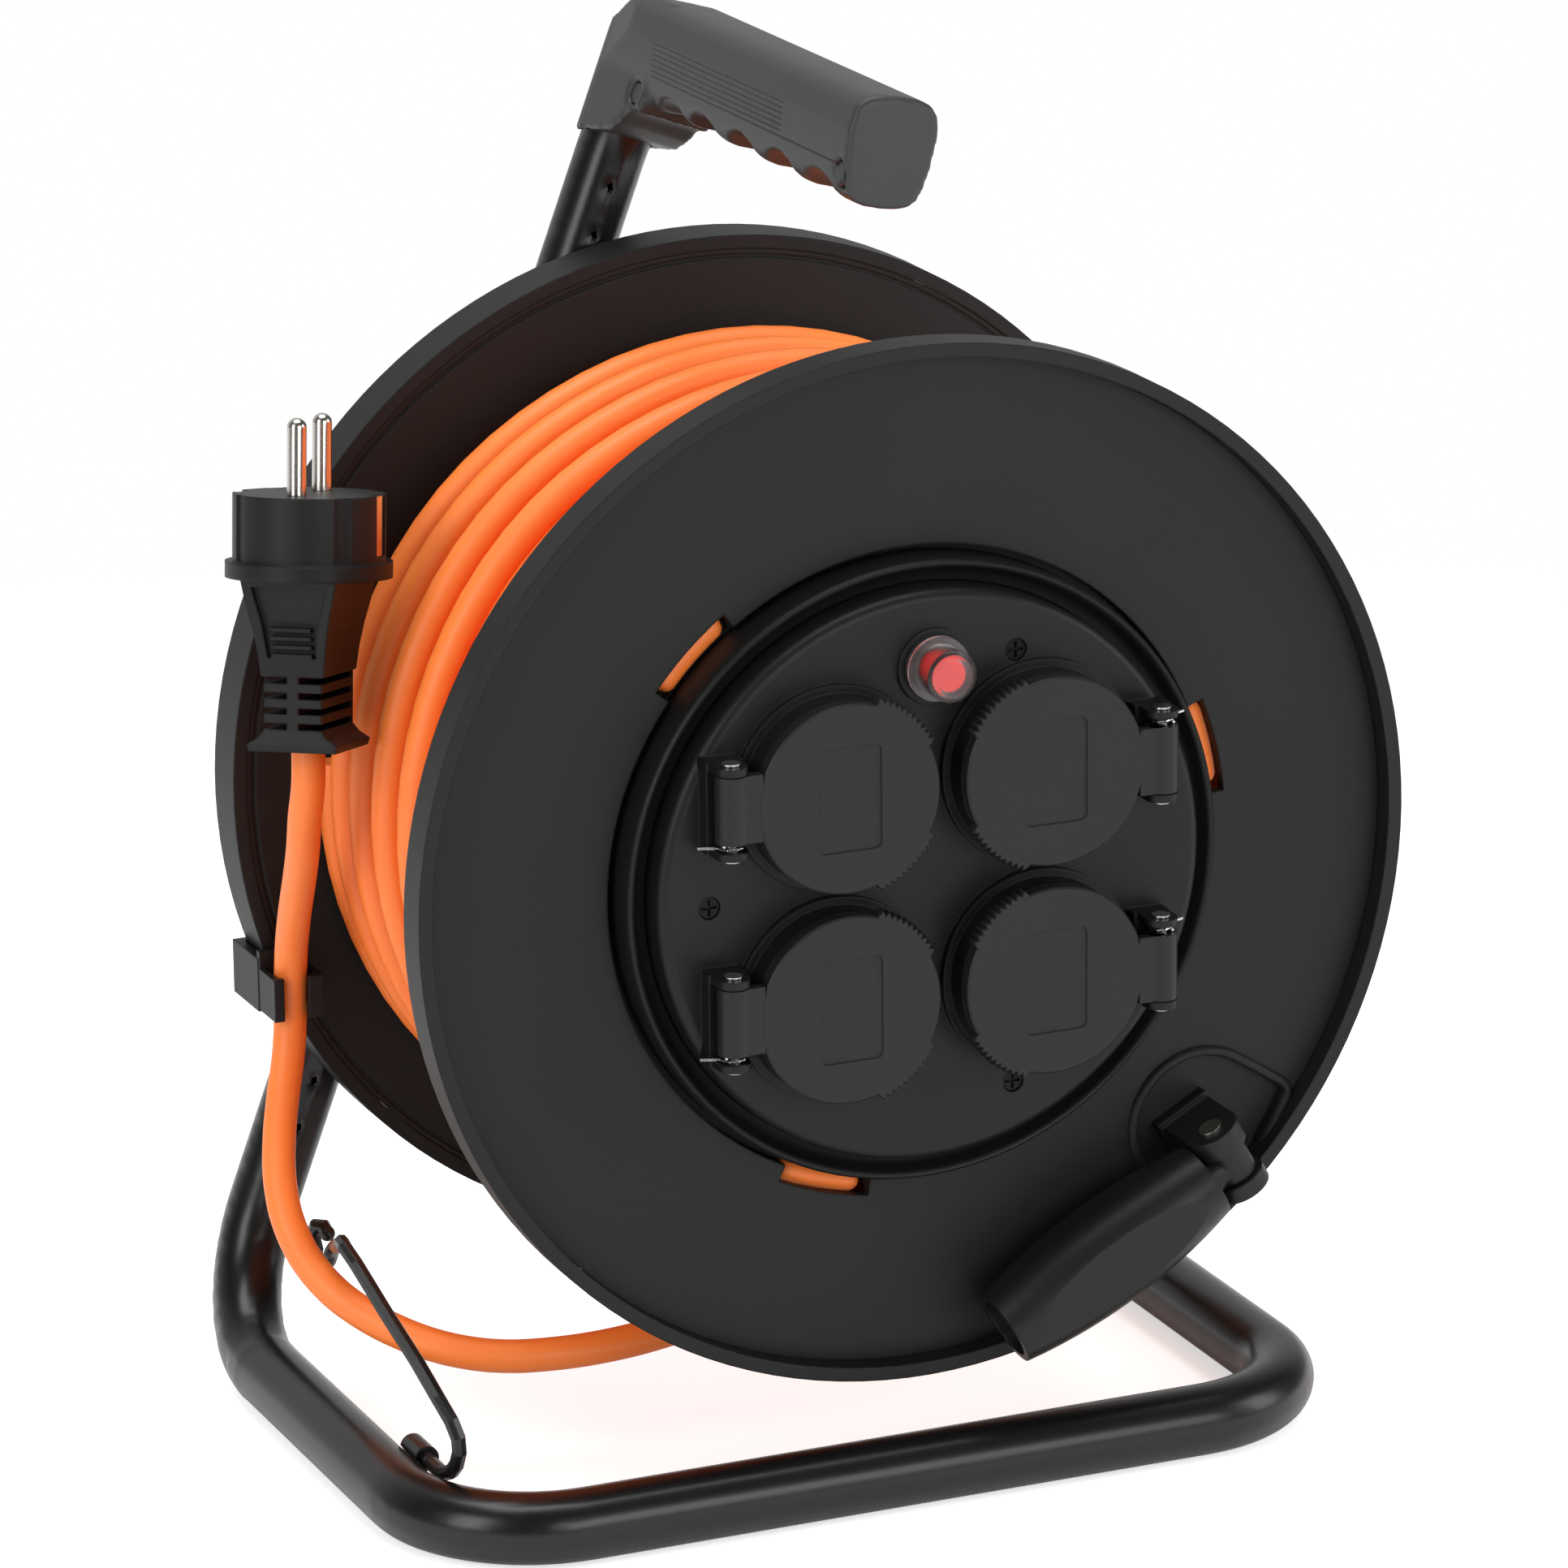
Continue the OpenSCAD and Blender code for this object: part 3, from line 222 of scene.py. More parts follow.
# ---------------------------------------------------------------- wound cable
# The rest of the cable, wound on the barrel by hand: a loose top layer, the layer that shows between its
# turns, and the first layer, seen through the three windows of the flange. Each layer is one long helix.
def winding_tree():
    """A node tree that winds a round cable about an axis along Y through its start."""
    tree = bpy.data.node_groups.new("wound cable", "GeometryNodeTree")
    inputs = {name: "NodeSocketFloat" for name in (
        "Radius", "Turns", "Width", "Crowding", "Start angle", "Cable radius", "Wander")}
    inputs.update({"Start": "NodeSocketVector", "Material": "NodeSocketMaterial"})
    for name, kind in inputs.items():
        tree.interface.new_socket(name, in_out="INPUT", socket_type=kind)
    tree.interface.new_socket("Geometry", in_out="OUTPUT", socket_type="NodeSocketGeometry")
    nodes, links = tree.nodes, tree.links
    given = nodes.new("NodeGroupInput")

    def maths(operation, a, b=0.0):
        made = nodes.new("ShaderNodeMath")
        made.operation = operation
        for socket, value in zip(made.inputs, (a, b)):
            if isinstance(value, (int, float)):
                socket.default_value = value
            else:
                links.new(value, socket)
        return made.outputs[0]

    steps = nodes.new("GeometryNodeCurvePrimitiveLine")
    cut = nodes.new("GeometryNodeResampleCurve")
    links.new(steps.outputs["Curve"], cut.inputs["Curve"])
    links.new(maths("ADD", maths("MULTIPLY", given.outputs["Turns"], 72.0), 2.0), cut.inputs["Count"])
    along = nodes.new("GeometryNodeSplineParameter").outputs["Factor"]
    angle = maths("SUBTRACT", given.outputs["Start angle"],
                  maths("MULTIPLY", maths("MULTIPLY", along, given.outputs["Turns"]), math.tau))
    crowd = maths("MULTIPLY", given.outputs["Crowding"], maths("SUBTRACT", along, maths("POWER", along, 3.0)))
    across = maths("MULTIPLY", given.outputs["Width"], maths("ADD", along, crowd))
    spot = nodes.new("ShaderNodeCombineXYZ")
    links.new(maths("MULTIPLY", given.outputs["Radius"], maths("COSINE", angle)), spot.inputs["X"])
    links.new(across, spot.inputs["Y"])
    links.new(maths("MULTIPLY", given.outputs["Radius"], maths("SINE", angle)), spot.inputs["Z"])
    wander = nodes.new("ShaderNodeTexNoise")
    wander.inputs["Scale"].default_value = 11.0
    wander.inputs["Detail"].default_value = 1.0
    links.new(spot.outputs[0], wander.inputs["Vector"])
    centred = nodes.new("ShaderNodeVectorMath")
    centred.operation = "SUBTRACT"
    centred.inputs[1].default_value = (0.5, 0.5, 0.5)
    links.new(wander.outputs["Color"], centred.inputs[0])
    sized = nodes.new("ShaderNodeVectorMath")
    sized.operation = "SCALE"
    links.new(centred.outputs[0], sized.inputs[0])
    links.new(given.outputs["Wander"], sized.inputs["Scale"])
    summed = nodes.new("ShaderNodeVectorMath")
    summed.operation = "ADD"
    links.new(spot.outputs[0], summed.inputs[0])
    links.new(sized.outputs[0], summed.inputs[1])
    placed = nodes.new("ShaderNodeVectorMath")
    placed.operation = "ADD"
    links.new(summed.outputs[0], placed.inputs[0])
    links.new(given.outputs["Start"], placed.inputs[1])
    moved = nodes.new("GeometryNodeSetPosition")
    links.new(cut.outputs["Curve"], moved.inputs["Geometry"])
    links.new(placed.outputs[0], moved.inputs["Position"])
    ring = nodes.new("GeometryNodeCurvePrimitiveCircle")
    ring.inputs["Resolution"].default_value = 16
    links.new(given.outputs["Cable radius"], ring.inputs["Radius"])
    tube = nodes.new("GeometryNodeCurveToMesh")
    tube.inputs["Fill Caps"].default_value = True
    links.new(moved.outputs["Geometry"], tube.inputs["Curve"])
    links.new(ring.outputs["Curve"], tube.inputs["Profile Curve"])
    real = nodes.new("GeometryNodeRealizeInstances")
    links.new(tube.outputs["Mesh"], real.inputs["Geometry"])
    coated = nodes.new("GeometryNodeSetMaterial")
    links.new(real.outputs["Geometry"], coated.inputs["Geometry"])
    links.new(given.outputs["Material"], coated.inputs["Material"])
    out = nodes.new("NodeGroupOutput")
    links.new(coated.outputs["Geometry"], out.inputs["Geometry"])
    return tree


def grown(name, tree, values):
    """A plain mesh object made by a node tree with these input values."""
    seed = bpy.data.objects.new(name + "_seed", bpy.data.meshes.new(name + "_seed"))
    bpy.context.scene.collection.objects.link(seed)
    step = seed.modifiers.new("grow", "NODES")
    step.node_group = tree
    for item in tree.interface.items_tree:
        if item.item_type == "SOCKET" and item.in_out == "INPUT" and item.name in values:
            step[item.identifier] = values[item.name]
    bpy.context.view_layer.update()
    made = bpy.data.objects.new(name, bpy.data.meshes.new_from_object(
        seed.evaluated_get(bpy.context.evaluated_depsgraph_get())))
    made.data.name = name
    bpy.context.scene.collection.objects.link(made)
    bpy.data.objects.remove(seed)
    outwards(made.data)
    return made


def outwards(mesh, crease=40):
    """Turns the faces of a closed mesh outwards and shades it smooth between sharp edges."""
    form = bmesh.new()
    form.from_mesh(mesh)
    bmesh.ops.recalc_face_normals(form, faces=form.faces)
    form.to_mesh(mesh)
    form.free()
    for face in mesh.polygons:
        face.use_smooth = True
    mesh.set_sharp_from_angle(angle=math.radians(crease))


winding = winding_tree()
layers = (
    ("cable_top_layer", 0.1050, 6.4, 0.104, 0.30, -0.0515, -40, 0.0016, "cable_winding"),
    ("cable_under_layer", 0.0984, 12.0, 0.106, 0.0, -0.0530, 30, 0.0004, "cable_winding"),
    ("cable_first_layer", 0.0818, 12.0, 0.107, 0.0, -0.0528, 70, 0.0, "cable_layers"),
)
for name, radius, turns, width, crowding, start_y, start_a, wander, stands_for in layers:
    layer = grown(name, winding, {
        "Radius": radius, "Turns": turns, "Width": width, "Crowding": crowding, "Cable radius": cable_d / 2,
        "Wander": wander, "Start": drum_axis + Vector((0, start_y, 0)), "Start angle": math.radians(start_a),
        "Material": jacket,
    })
    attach(layer, "drum")
    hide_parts(stands_for)


def piece_of(name, form, material, body, slot, *stands_for, crease=40):
    """Links a bmesh as an object that rides on a body, with its material; the finish slot is not used."""
    mesh = bpy.data.meshes.new(name)
    form.to_mesh(mesh)
    form.free()
    outwards(mesh, crease)
    mesh.materials.append(material)
    made = bpy.data.objects.new(name, mesh)
    bpy.context.scene.collection.objects.link(made)
    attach(made, body)
    if stands_for:
        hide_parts(*stands_for)
    return made


# The first turn bulges into each window of the flange, a rounded length of cable.
window_angles = (134.0, 14.0, -107.0)
window_half_angle = 7.9
bulge_reach, bulge_y, bulge_r = 0.0814, -0.0604, 0.0031
flat_part = 0.72
bulge = bmesh.new()
for middle in window_angles:
    rings = []
    for k in range(33):
        t = k / 32 * 2 - 1
        swell = math.sqrt(max(0.0, 1 - max(0.0, (abs(t) - flat_part) / (1 - flat_part)) ** 2))
        a = math.radians(middle + window_half_angle * t)
        centre = drum_axis + Vector((bulge_reach * math.cos(a), bulge_y, bulge_reach * math.sin(a)))
        outward, forward = Vector((math.cos(a), 0, math.sin(a))), Vector((0, -1, 0))
        size = bulge_r * max(0.03, swell)
        rings.append([bulge.verts.new(centre + size * (math.cos(b) * outward + math.sin(b) * forward))
                      for b in (math.tau * i / 16 for i in range(16))])
    for one, two in zip(rings, rings[1:]):
        for i in range(16):
            bulge.faces.new((one[i], one[i - 1], two[i - 1], two[i]))
    bulge.faces.new(rings[0])
    bulge.faces.new(rings[-1])
piece_of("cable_in_windows", bulge, jacket, "drum", "cable_jacket")


# ---------------------------------------------------------------- plug
# A two pole plug with side earth contacts: soft black PVC moulded over nickel plated brass pins.
# Its facets, ribs and strain relief are in the construction, so it only takes its materials here.
def finish_in(material, *nodes):
    """Gives construction pieces this finish."""
    for node in nodes:
        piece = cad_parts[node]
        piece.data.materials.clear()
        piece.data.materials.append(material)


def moulded(name, dark, light, roughness, grain, depth, rounding, spread=0.07, shine=0.5):
    """Moulded plastic: fine spark eroded grain, slow changes in tone, softly rounded edges."""
    shade = Shader(name)
    flow = shade.noise(0.045, 2.0, 0.5, seed=3.0)
    skin = shade.noise(grain, 2.0, 0.6)
    return shade.surface(
        Base_Color=shade.blend(flow, (*dark, 1), (*light, 1)),
        Roughness=(roughness - spread / 2) + spread * flow,
        Specular_IOR_Level=shine,
        Normal=shade.rounded(rounding, skin, depth, 0.6),
    )


def plated(name, colour, roughness):
    """Bright plated or turned metal with fine marks."""
    shade = Shader(name)
    marks = shade.noise(0.0006, 3.0, 0.6)
    cloud = shade.noise(0.012, 2.0)
    return shade.surface(
        Base_Color=shade.blend(cloud, (*[0.9 * c for c in colour], 1), (*colour, 1)),
        Metallic=1.0,
        Roughness=(roughness - 0.05) + 0.1 * marks,
        Normal=shade.rounded(0.0002, marks, 0.00003, 0.4),
    )


soft_pvc = moulded("soft plug body", (0.007, 0.007, 0.007), (0.010, 0.010, 0.010), 0.46,
                   0.0005, 0.00005, 0.0010, shine=0.25)
finish_in(soft_pvc, "plug_body")
finish_in(plated("nickel", (0.78, 0.74, 0.68), 0.2), "plug_pins", "plug_earth_clips")


# ---------------------------------------------------------------- cable clip
# A small moulded clip that snaps on the rear rim and holds the lead. It is of black polyamide with a
# fine grain, a little duller than the drum.
clip_plastic = moulded("clip plastic", (0.006, 0.006, 0.006), (0.009, 0.009, 0.009), 0.46,
                       0.0004, 0.00004, 0.0006, shine=0.25)
finish_in(clip_plastic, "cable_clip")


# ---------------------------------------------------------------- stand
# One bent and welded steel tube of 18 mm, stove enamelled in satin black with a soft orange peel. It is
# taken in one skin, so that its bends and welds run into each other.
def enamel():
    shade = Shader("black enamel")
    peel = shade.noise(0.0032, 2.0, 0.5)
    dust = shade.noise(0.02, 3.0)
    return shade.surface(
        Base_Color=shade.blend(dust, (0.0022, 0.0022, 0.0023, 1), (0.0040, 0.0040, 0.0042, 1)),
        Roughness=0.29 + 0.06 * dust,
        Specular_IOR_Level=0.4,
        Coat_Weight=0.2,
        Coat_Roughness=0.22,
        Normal=shade.rounded(0.0006, peel, 0.00006, 0.35),
    )


def merged(*names):
    """A bmesh with the joined faces of construction pieces, their shared corners merged."""
    form = bmesh.new()
    for name in names:
        form.from_mesh(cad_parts[name].data)
    bmesh.ops.remove_doubles(form, verts=form.verts, dist=2e-6)
    return form


def worn_round(name, form, voxel, passes):
    """The bmesh after a voxel remesh and some smoothing, which rounds every edge a little."""
    mesh = bpy.data.meshes.new(name)
    form.to_mesh(mesh)
    form.free()
    raw = bpy.data.objects.new(name + "_raw", mesh)
    bpy.context.scene.collection.objects.link(raw)
    remesh = raw.modifiers.new("remesh", "REMESH")
    remesh.mode = "VOXEL"
    remesh.voxel_size = voxel
    smooth = raw.modifiers.new("smooth", "SMOOTH")
    smooth.factor = 0.5
    smooth.iterations = passes
    bpy.context.view_layer.update()
    soft = bmesh.new()
    done = raw.evaluated_get(bpy.context.evaluated_depsgraph_get())
    soft.from_mesh(done.to_mesh())
    bpy.data.objects.remove(raw)
    return soft


enamelled = enamel()
finish_in(enamelled, "axle_boss", "guide_bracket")
tube_voxel, tube_passes = 0.0015, 5
piece_of("stand_tube", worn_round("stand_tube", merged("frame_tube"), tube_voxel, tube_passes),
         enamelled, "stand", "stand_paint", "frame_tube", crease=75)
finish_in(plated("turned steel", (0.62, 0.62, 0.64), 0.3), "axle", "axle_washer", "axle_circlip")


# ---------------------------------------------------------------- handle
# Two moulded half shells over the bar of the tube, dark grey with a fine leathery grain. Two screws hold
# them, under flush caps on the left. Seven fine grooves run along that side, bumped into the normal, and
# their colour is painted darker as painted shade in the grooves.
post_lean = math.atan(0.38)
grip_at = Vector((-0.00087, 0.08245, 0.335))
groove_start, groove_step = -0.0065, 0.00067
band_low, band_high, tail_high = -0.0069, 0.0018, -0.0060
band_back, band_front, tail_front = -0.032, -0.113, -0.147
left_side = -0.006


def grip_shell():
    shade = Shader("handle plastic")
    skin = shade.noise(0.00045, 3.0, 0.65)
    flow = shade.noise(0.03, 2.0)
    spot = shade.node("ShaderNodeTexCoord", out="Object")
    local = shade.node("ShaderNodeMapping", {"vector_type": "TEXTURE"},
                       {"Vector": spot, "Location": grip_at, "Rotation": (0, post_lean, 0)})
    split = shade.tree.nodes.new("ShaderNodeSeparateXYZ")
    shade.tree.links.new(local.socket, split.inputs[0])
    side, along, high = (Socket(shade, split.outputs[i]) for i in range(3))
    wave = shade.node("ShaderNodeMath", {"operation": "PINGPONG"}, {0: high - groove_start, 1: groove_step})
    line = 1.0 - shade.node("ShaderNodeMapRange", {"interpolation_type": "SMOOTHSTEP"},
                            {0: wave, 1: 0.00008, 2: 0.0003})
    band = (high > band_low) * (band_high - high > 0.0) * (along > band_front) * (band_back - along > 0.0)
    tail = (high > band_low) * (tail_high - high > 0.0) * (along > tail_front) * (band_back - along > 0.0)
    either = shade.node("ShaderNodeMath", {"operation": "MAXIMUM"}, {0: band, 1: tail})
    groove_and_painted_shade = line * either * (left_side - side > 0.0)
    relief = 0.15 * skin - groove_and_painted_shade
    plain = shade.blend(flow, (0.022, 0.0225, 0.0225, 1), (0.030, 0.0305, 0.0305, 1))
    return shade.surface(
        # The base colour is painted near black along the grooves: painted shade inside them.
        Base_Color=shade.blend(groove_and_painted_shade, plain, (0.006, 0.006, 0.006, 1)),
        Roughness=0.40 + 0.08 * skin,
        Specular_IOR_Level=0.45,
        Normal=shade.rounded(0.0004, relief, 0.0004, 0.9),
    )


grip_plastic = grip_shell()
grip_voxel, grip_passes = 0.0009, 5
grip_form = worn_round("handle_grip", merged("handle_left", "handle_right"), grip_voxel, grip_passes)
piece_of("handle_grip", grip_form, grip_plastic, "stand", "handle_plastic", "handle_left", "handle_right",
         crease=70)
cap_places_mm = ((-24.0, -12.2, -9.3), (-148.0, -8.3, -10.4))
cap_r_in, cap_r_out, cap_depth = 0.0026, 0.0029, 0.0016
caps = bmesh.new()
for along, high, out in cap_places_mm:
    lay = (Matrix.Translation(grip_at) @ Matrix.Rotation(post_lean, 4, "Y")
           @ Matrix.Translation((out / 1000 + cap_depth / 2, along / 1000, high / 1000))
           @ Matrix.Rotation(math.pi / 2, 4, "Y"))
    bmesh.ops.create_cone(caps, cap_ends=True, segments=32, radius1=cap_r_in, radius2=cap_r_out,
                          depth=cap_depth, matrix=lay)
piece_of("handle_screw_caps", caps, grip_plastic, "stand", "handle_plastic")
screw_head = moulded("screw head", (0.03, 0.03, 0.03), (0.04, 0.04, 0.04), 0.45, 0.0004, 0.00003, 0.0002)
finish_in(screw_head, "handle_screws")


# ---------------------------------------------------------------- wire guide
# A bent wire hook in a sleeve on the foot, which keeps the lead beside the drum. It is dipped in black
# plastic, smoother than the moulded parts.
wire_coating = moulded("wire coating", (0.005, 0.005, 0.005), (0.008, 0.008, 0.008), 0.3,
                       0.0009, 0.00004, 0.0003)
finish_in(wire_coating, "cable_guide")


# ---------------------------------------------------------------- drum
# Two flanges moulded in black polypropylene, screwed to a barrel. Their faces have a dull spark eroded
# grain. The screws are zinc plated, those of the panel blackened, and the bushes are natural acetal.
drum_plastic = moulded("drum plastic", (0.0072, 0.0072, 0.0072), (0.0108, 0.0108, 0.0107), 0.50,
                       0.0004, 0.00005, 0.0008, shine=0.25)
finish_in(drum_plastic, "drum_barrel", "front_flange", "front_rim", "rear_flange", "rear_rim", "rear_ribs")
finish_in(plated("zinc", (0.66, 0.66, 0.68), 0.34), "flange_screws", "grip_washer", "grip_screw")
finish_in(plated("blackened screw", (0.02, 0.02, 0.02), 0.5), "panel_screws")
acetal = moulded("acetal", (0.62, 0.58, 0.46), (0.68, 0.64, 0.52), 0.35, 0.0008, 0.00002, 0.0003)
finish_in(acetal, "hub_bushes")


# The crank pocket has a raised round lip that comes to a point beside the rim. Its route and section are
# in mm: the route across the flange from the crank pin, the section from the middle of the lip.
pocket_mid = drum_axis + Vector((0.0787, 0, -0.0832))
lip_route = [(16.0, -2.0), (18.2, 1.6), (20.6, 5.6), (22.5, 8.9), (23.1, 10.7), (22.7, 12.3), (21.4, 13.6),
             (17.6, 16.1), (13.2, 18.9)]
round_x, round_z, round_r = -1.2, 6.2, 18.4
lip_route += [(round_x + round_r * math.cos(math.radians(a)), round_z + round_r * math.sin(math.radians(a)))
              for a in range(58, 236, 4)]
lip_section = [(-1.3, -63.2), (-1.3, -66.3), (-1.0, -67.1), (-0.5, -67.5), (0.0, -67.6), (0.5, -67.5),
               (1.0, -67.1), (1.3, -66.3), (1.3, -63.2)]
bead = bmesh.new()
steps = []
for k, (x, z) in enumerate(lip_route):
    before, after = lip_route[max(k - 1, 0)], lip_route[min(k + 1, len(lip_route) - 1)]
    run = Vector((after[0] - before[0], 0, after[1] - before[1])).normalized()
    across = Vector((run.z, 0, -run.x))
    steps.append([bead.verts.new(pocket_mid + (Vector((x, y, z)) + u * across) / 1000) for u, y in lip_section])
for one, two in zip(steps, steps[1:]):
    for k in range(len(lip_section)):
        bead.faces.new((one[k - 1], one[k], two[k], two[k - 1]))
bead.faces.new(steps[0])
bead.faces.new(steps[-1])
piece_of("pocket_lip", bead, drum_plastic, "drum", "drum_plastic", crease=50)


# ---------------------------------------------------------------- socket panel
# A shallow cap moulded with four collars and hinge eyes, sunk in the well of the front flange. Dark grey
# inserts with brass contacts sit behind its collars.
panel_plastic = moulded("panel plastic", (0.0045, 0.0045, 0.0045), (0.0075, 0.0075, 0.0075), 0.42,
                        0.00045, 0.00004, 0.0006, shine=0.25)
finish_in(panel_plastic, "socket_panel")

# A raised lip of the flange runs round the cap and hides the joint. It is turned here as one ring, from a
# section of radius and depth in mm.
lip = bmesh.new()
lip_profile = [(77.9, -62.5), (77.8, -72.2), (77.5, -73.2), (76.9, -73.7), (76.2, -73.5), (75.6, -72.7),
               (75.0, -70.4), (73.6, -69.3), (71.7, -69.1), (71.7, -62.5)]
turns_of = [[lip.verts.new(drum_axis + Vector((r * math.cos(a), y, r * math.sin(a))) / 1000)
             for r, y in lip_profile] for a in (math.tau * k / 144 for k in range(144))]
for one, two in zip(turns_of, turns_of[1:] + turns_of[:1]):
    for k in range(len(lip_profile)):
        lip.faces.new((one[k - 1], one[k], two[k], two[k - 1]))
piece_of("panel_lip", lip, panel_plastic, "drum", "panel_plastic", crease=50)
insert_plastic = moulded("insert plastic", (0.03, 0.03, 0.032), (0.036, 0.036, 0.038), 0.4,
                         0.0005, 0.00003, 0.0004)
finish_in(insert_plastic, "socket_insert_1", "socket_insert_2", "socket_insert_3", "socket_insert_4")
finish_in(plated("brass", (0.80, 0.62, 0.30), 0.28), "socket_contacts", "socket_earth_clips", "bus_bars")


# ---------------------------------------------------------------- circuit breaker
# A reset button of red plastic under a clear soft boot. The housing behind it is black, and the springs
# and hinge pins of the whole drum are of the same bright wire.
breaker_housing = moulded("breaker housing", (0.02, 0.02, 0.022), (0.026, 0.026, 0.028), 0.4,
                          0.0005, 0.00003, 0.0004)
finish_in(breaker_housing, "breaker_body")


def button_red():
    shade = Shader("reset red")
    haze = shade.noise(0.004, 2.0)
    return shade.surface(
        Base_Color=shade.blend(haze, (0.62, 0.02, 0.015, 1), (0.75, 0.035, 0.025, 1)),
        Roughness=0.3 + 0.1 * haze,
        Normal=shade.rounded(0.0005, haze, 0.00003, 0.3),
    )


def boot_clear():
    shade = Shader("clear boot")
    haze = shade.noise(0.003, 2.0)
    return shade.surface(
        Base_Color=shade.blend(haze, (0.96, 0.9, 0.9, 1), (1.0, 0.95, 0.95, 1)),
        Roughness=0.12 + 0.12 * haze,
        Transmission_Weight=1.0,
        IOR=1.41,
        Normal=shade.rounded(0.0005, haze, 0.00003, 0.3),
    )


finish_in(button_red(), "reset_button")
finish_in(boot_clear(), "breaker_boot")
finish_in(plated("spring steel", (0.72, 0.72, 0.73), 0.22), "reset_spring", "lid_springs", "hinge_pins")


# ---------------------------------------------------------------- lids
# Four sprung lids of a plastic a little lighter than the panel. Each has two toothed thumb edges, a sunk
# bare field with round corners, and a barrel that turns on the hinge pin. A seal ring sits in a groove behind.
lid_plastic = moulded("lid plastic", (0.0095, 0.0095, 0.0095), (0.0125, 0.0125, 0.0125), 0.42,
                      0.0004, 0.00004, 0.0003, shine=0.28)
lid_faces = (-0.090, -0.087)
lid_chamfer, field_depth = 0.0005, 0.0005
lid_r, tooth_foot_r, tooth_height = 0.0235, 0.0243, 0.0011
tooth_arcs, tooth_arc, tooth_step = (28.0, -72.0), 44, 4
arm_at, arm_size = (-0.0259, -0.0885, 0.0007), (0.0070, 0.0028, 0.0166)
barrel_at, barrel_r = (-0.0294, -0.087, 0.0007), 0.004


def lid_edge(inset):
    """The outline of a lid, with eleven small teeth on both thumb edges."""
    outline = []
    for k in range(720):
        a = k / 2 if k < 360 else k / 2 - 360
        reach = lid_r
        for first in tooth_arcs:
            if first <= a <= first + tooth_arc:
                tooth = abs(((a - first) / tooth_step + 0.5) % 1 - 0.5) * 2
                reach = tooth_foot_r + tooth_height * tooth
        turn = math.radians(a)
        outline.append(((reach - inset) * math.cos(turn), (reach - inset) * math.sin(turn)))
    return outline


def field_edge(grow):
    """The rounded outline of the sunk field."""
    half_x, half_z, corner = 0.0082, 0.013, 0.0018
    return [(sx * (half_x - corner) + (corner + grow) * math.cos(math.radians(a)),
             sz * (half_z - corner) + (corner + grow) * math.sin(math.radians(a)))
            for sx, sz, first in ((1, 1, 0), (-1, 1, 90), (-1, -1, 180), (1, -1, 270))
            for a in range(first, first + 91, 15)]


def lid_form(place):
    form = bmesh.new()

    def loop(points, depth):
        return [form.verts.new(place @ Vector((x, depth, z))) for x, z in points]

    def wall(one, two):
        for i in range(len(one)):
            form.faces.new((one[i - 1], one[i], two[i], two[i - 1]))

    def face_with_hole(outer, inner, outer_points, inner_points):
        corners = [[Vector((x, z, 0)) for x, z in outer_points], [Vector((x, z, 0)) for x, z in inner_points]]
        verts = outer + inner
        for a, b, c in tessellate_polygon(corners):
            form.faces.new((verts[a], verts[b], verts[c]))

    front, back_face = lid_faces
    rim = loop(lid_edge(0.0), front + lid_chamfer)
    crown = loop(lid_edge(lid_chamfer), front)
    heel = loop(lid_edge(0.0), back_face)
    brim = loop(field_edge(0.0), front)
    sink = loop(field_edge(-0.0002), front + field_depth)
    wall(heel, rim)
    wall(rim, crown)
    face_with_hole(crown, brim, lid_edge(lid_chamfer), field_edge(0.0))
    wall(brim, sink)
    form.faces.new(sink)
    form.faces.new(heel)
    bmesh.ops.create_cube(form, size=1.0,
                          matrix=place @ Matrix.Translation(arm_at) @ Matrix.Diagonal((*arm_size, 1)))
    bmesh.ops.create_cone(form, cap_ends=True, segments=48, radius1=barrel_r, radius2=barrel_r,
                          depth=arm_size[2], matrix=place @ Matrix.Translation(barrel_at))
    return form


socket_x, socket_z = 0.027, 0.0263
for number, turned, sign in ((1, False, 1), (2, True, -1), (3, False, -1), (4, True, 1)):
    spot = Matrix.Translation(drum_axis)
    if turned:
        spot = spot @ Matrix.Rotation(math.pi, 4, "Y")
    spot = spot @ Matrix.Translation((-socket_x, 0, sign * socket_z))
    lid = f"lid_{number}"
    piece_of(f"lid_cover_{number}", lid_form(spot), lid_plastic, lid, "lid_plastic", lid, crease=32)
seal_rubber = moulded("seal rubber", (0.05, 0.05, 0.05), (0.06, 0.06, 0.06), 0.6, 0.0004, 0.00003, 0.0002)
finish_in(seal_rubber, "lid_seal_1", "lid_seal_2", "lid_seal_3", "lid_seal_4")


# ---------------------------------------------------------------- crank
# A folding crank: bracket, steel pin, spindle with its knuckle, and a turning grip. Its plastic is
# smoother than that of the flange and catches a little more light.
crank_plastic = moulded("crank plastic", (0.0055, 0.0055, 0.0055), (0.0085, 0.0085, 0.0085), 0.38,
                        0.0005, 0.00004, 0.0008, shine=0.3)
finish_in(crank_plastic, "crank_bracket", "crank_spindle", "crank_grip")
finish_in(plated("pin steel", (0.55, 0.53, 0.46), 0.3), "crank_pin")


# ---------------------------------------------------------------- floor, backdrop and light
# A white sweep under four soft boxes in a white room. The eye sees plain white behind the object, and the
# floor keeps its shadow between and beside the feet.
shadow_reach, white_reach = 0.22, 0.85


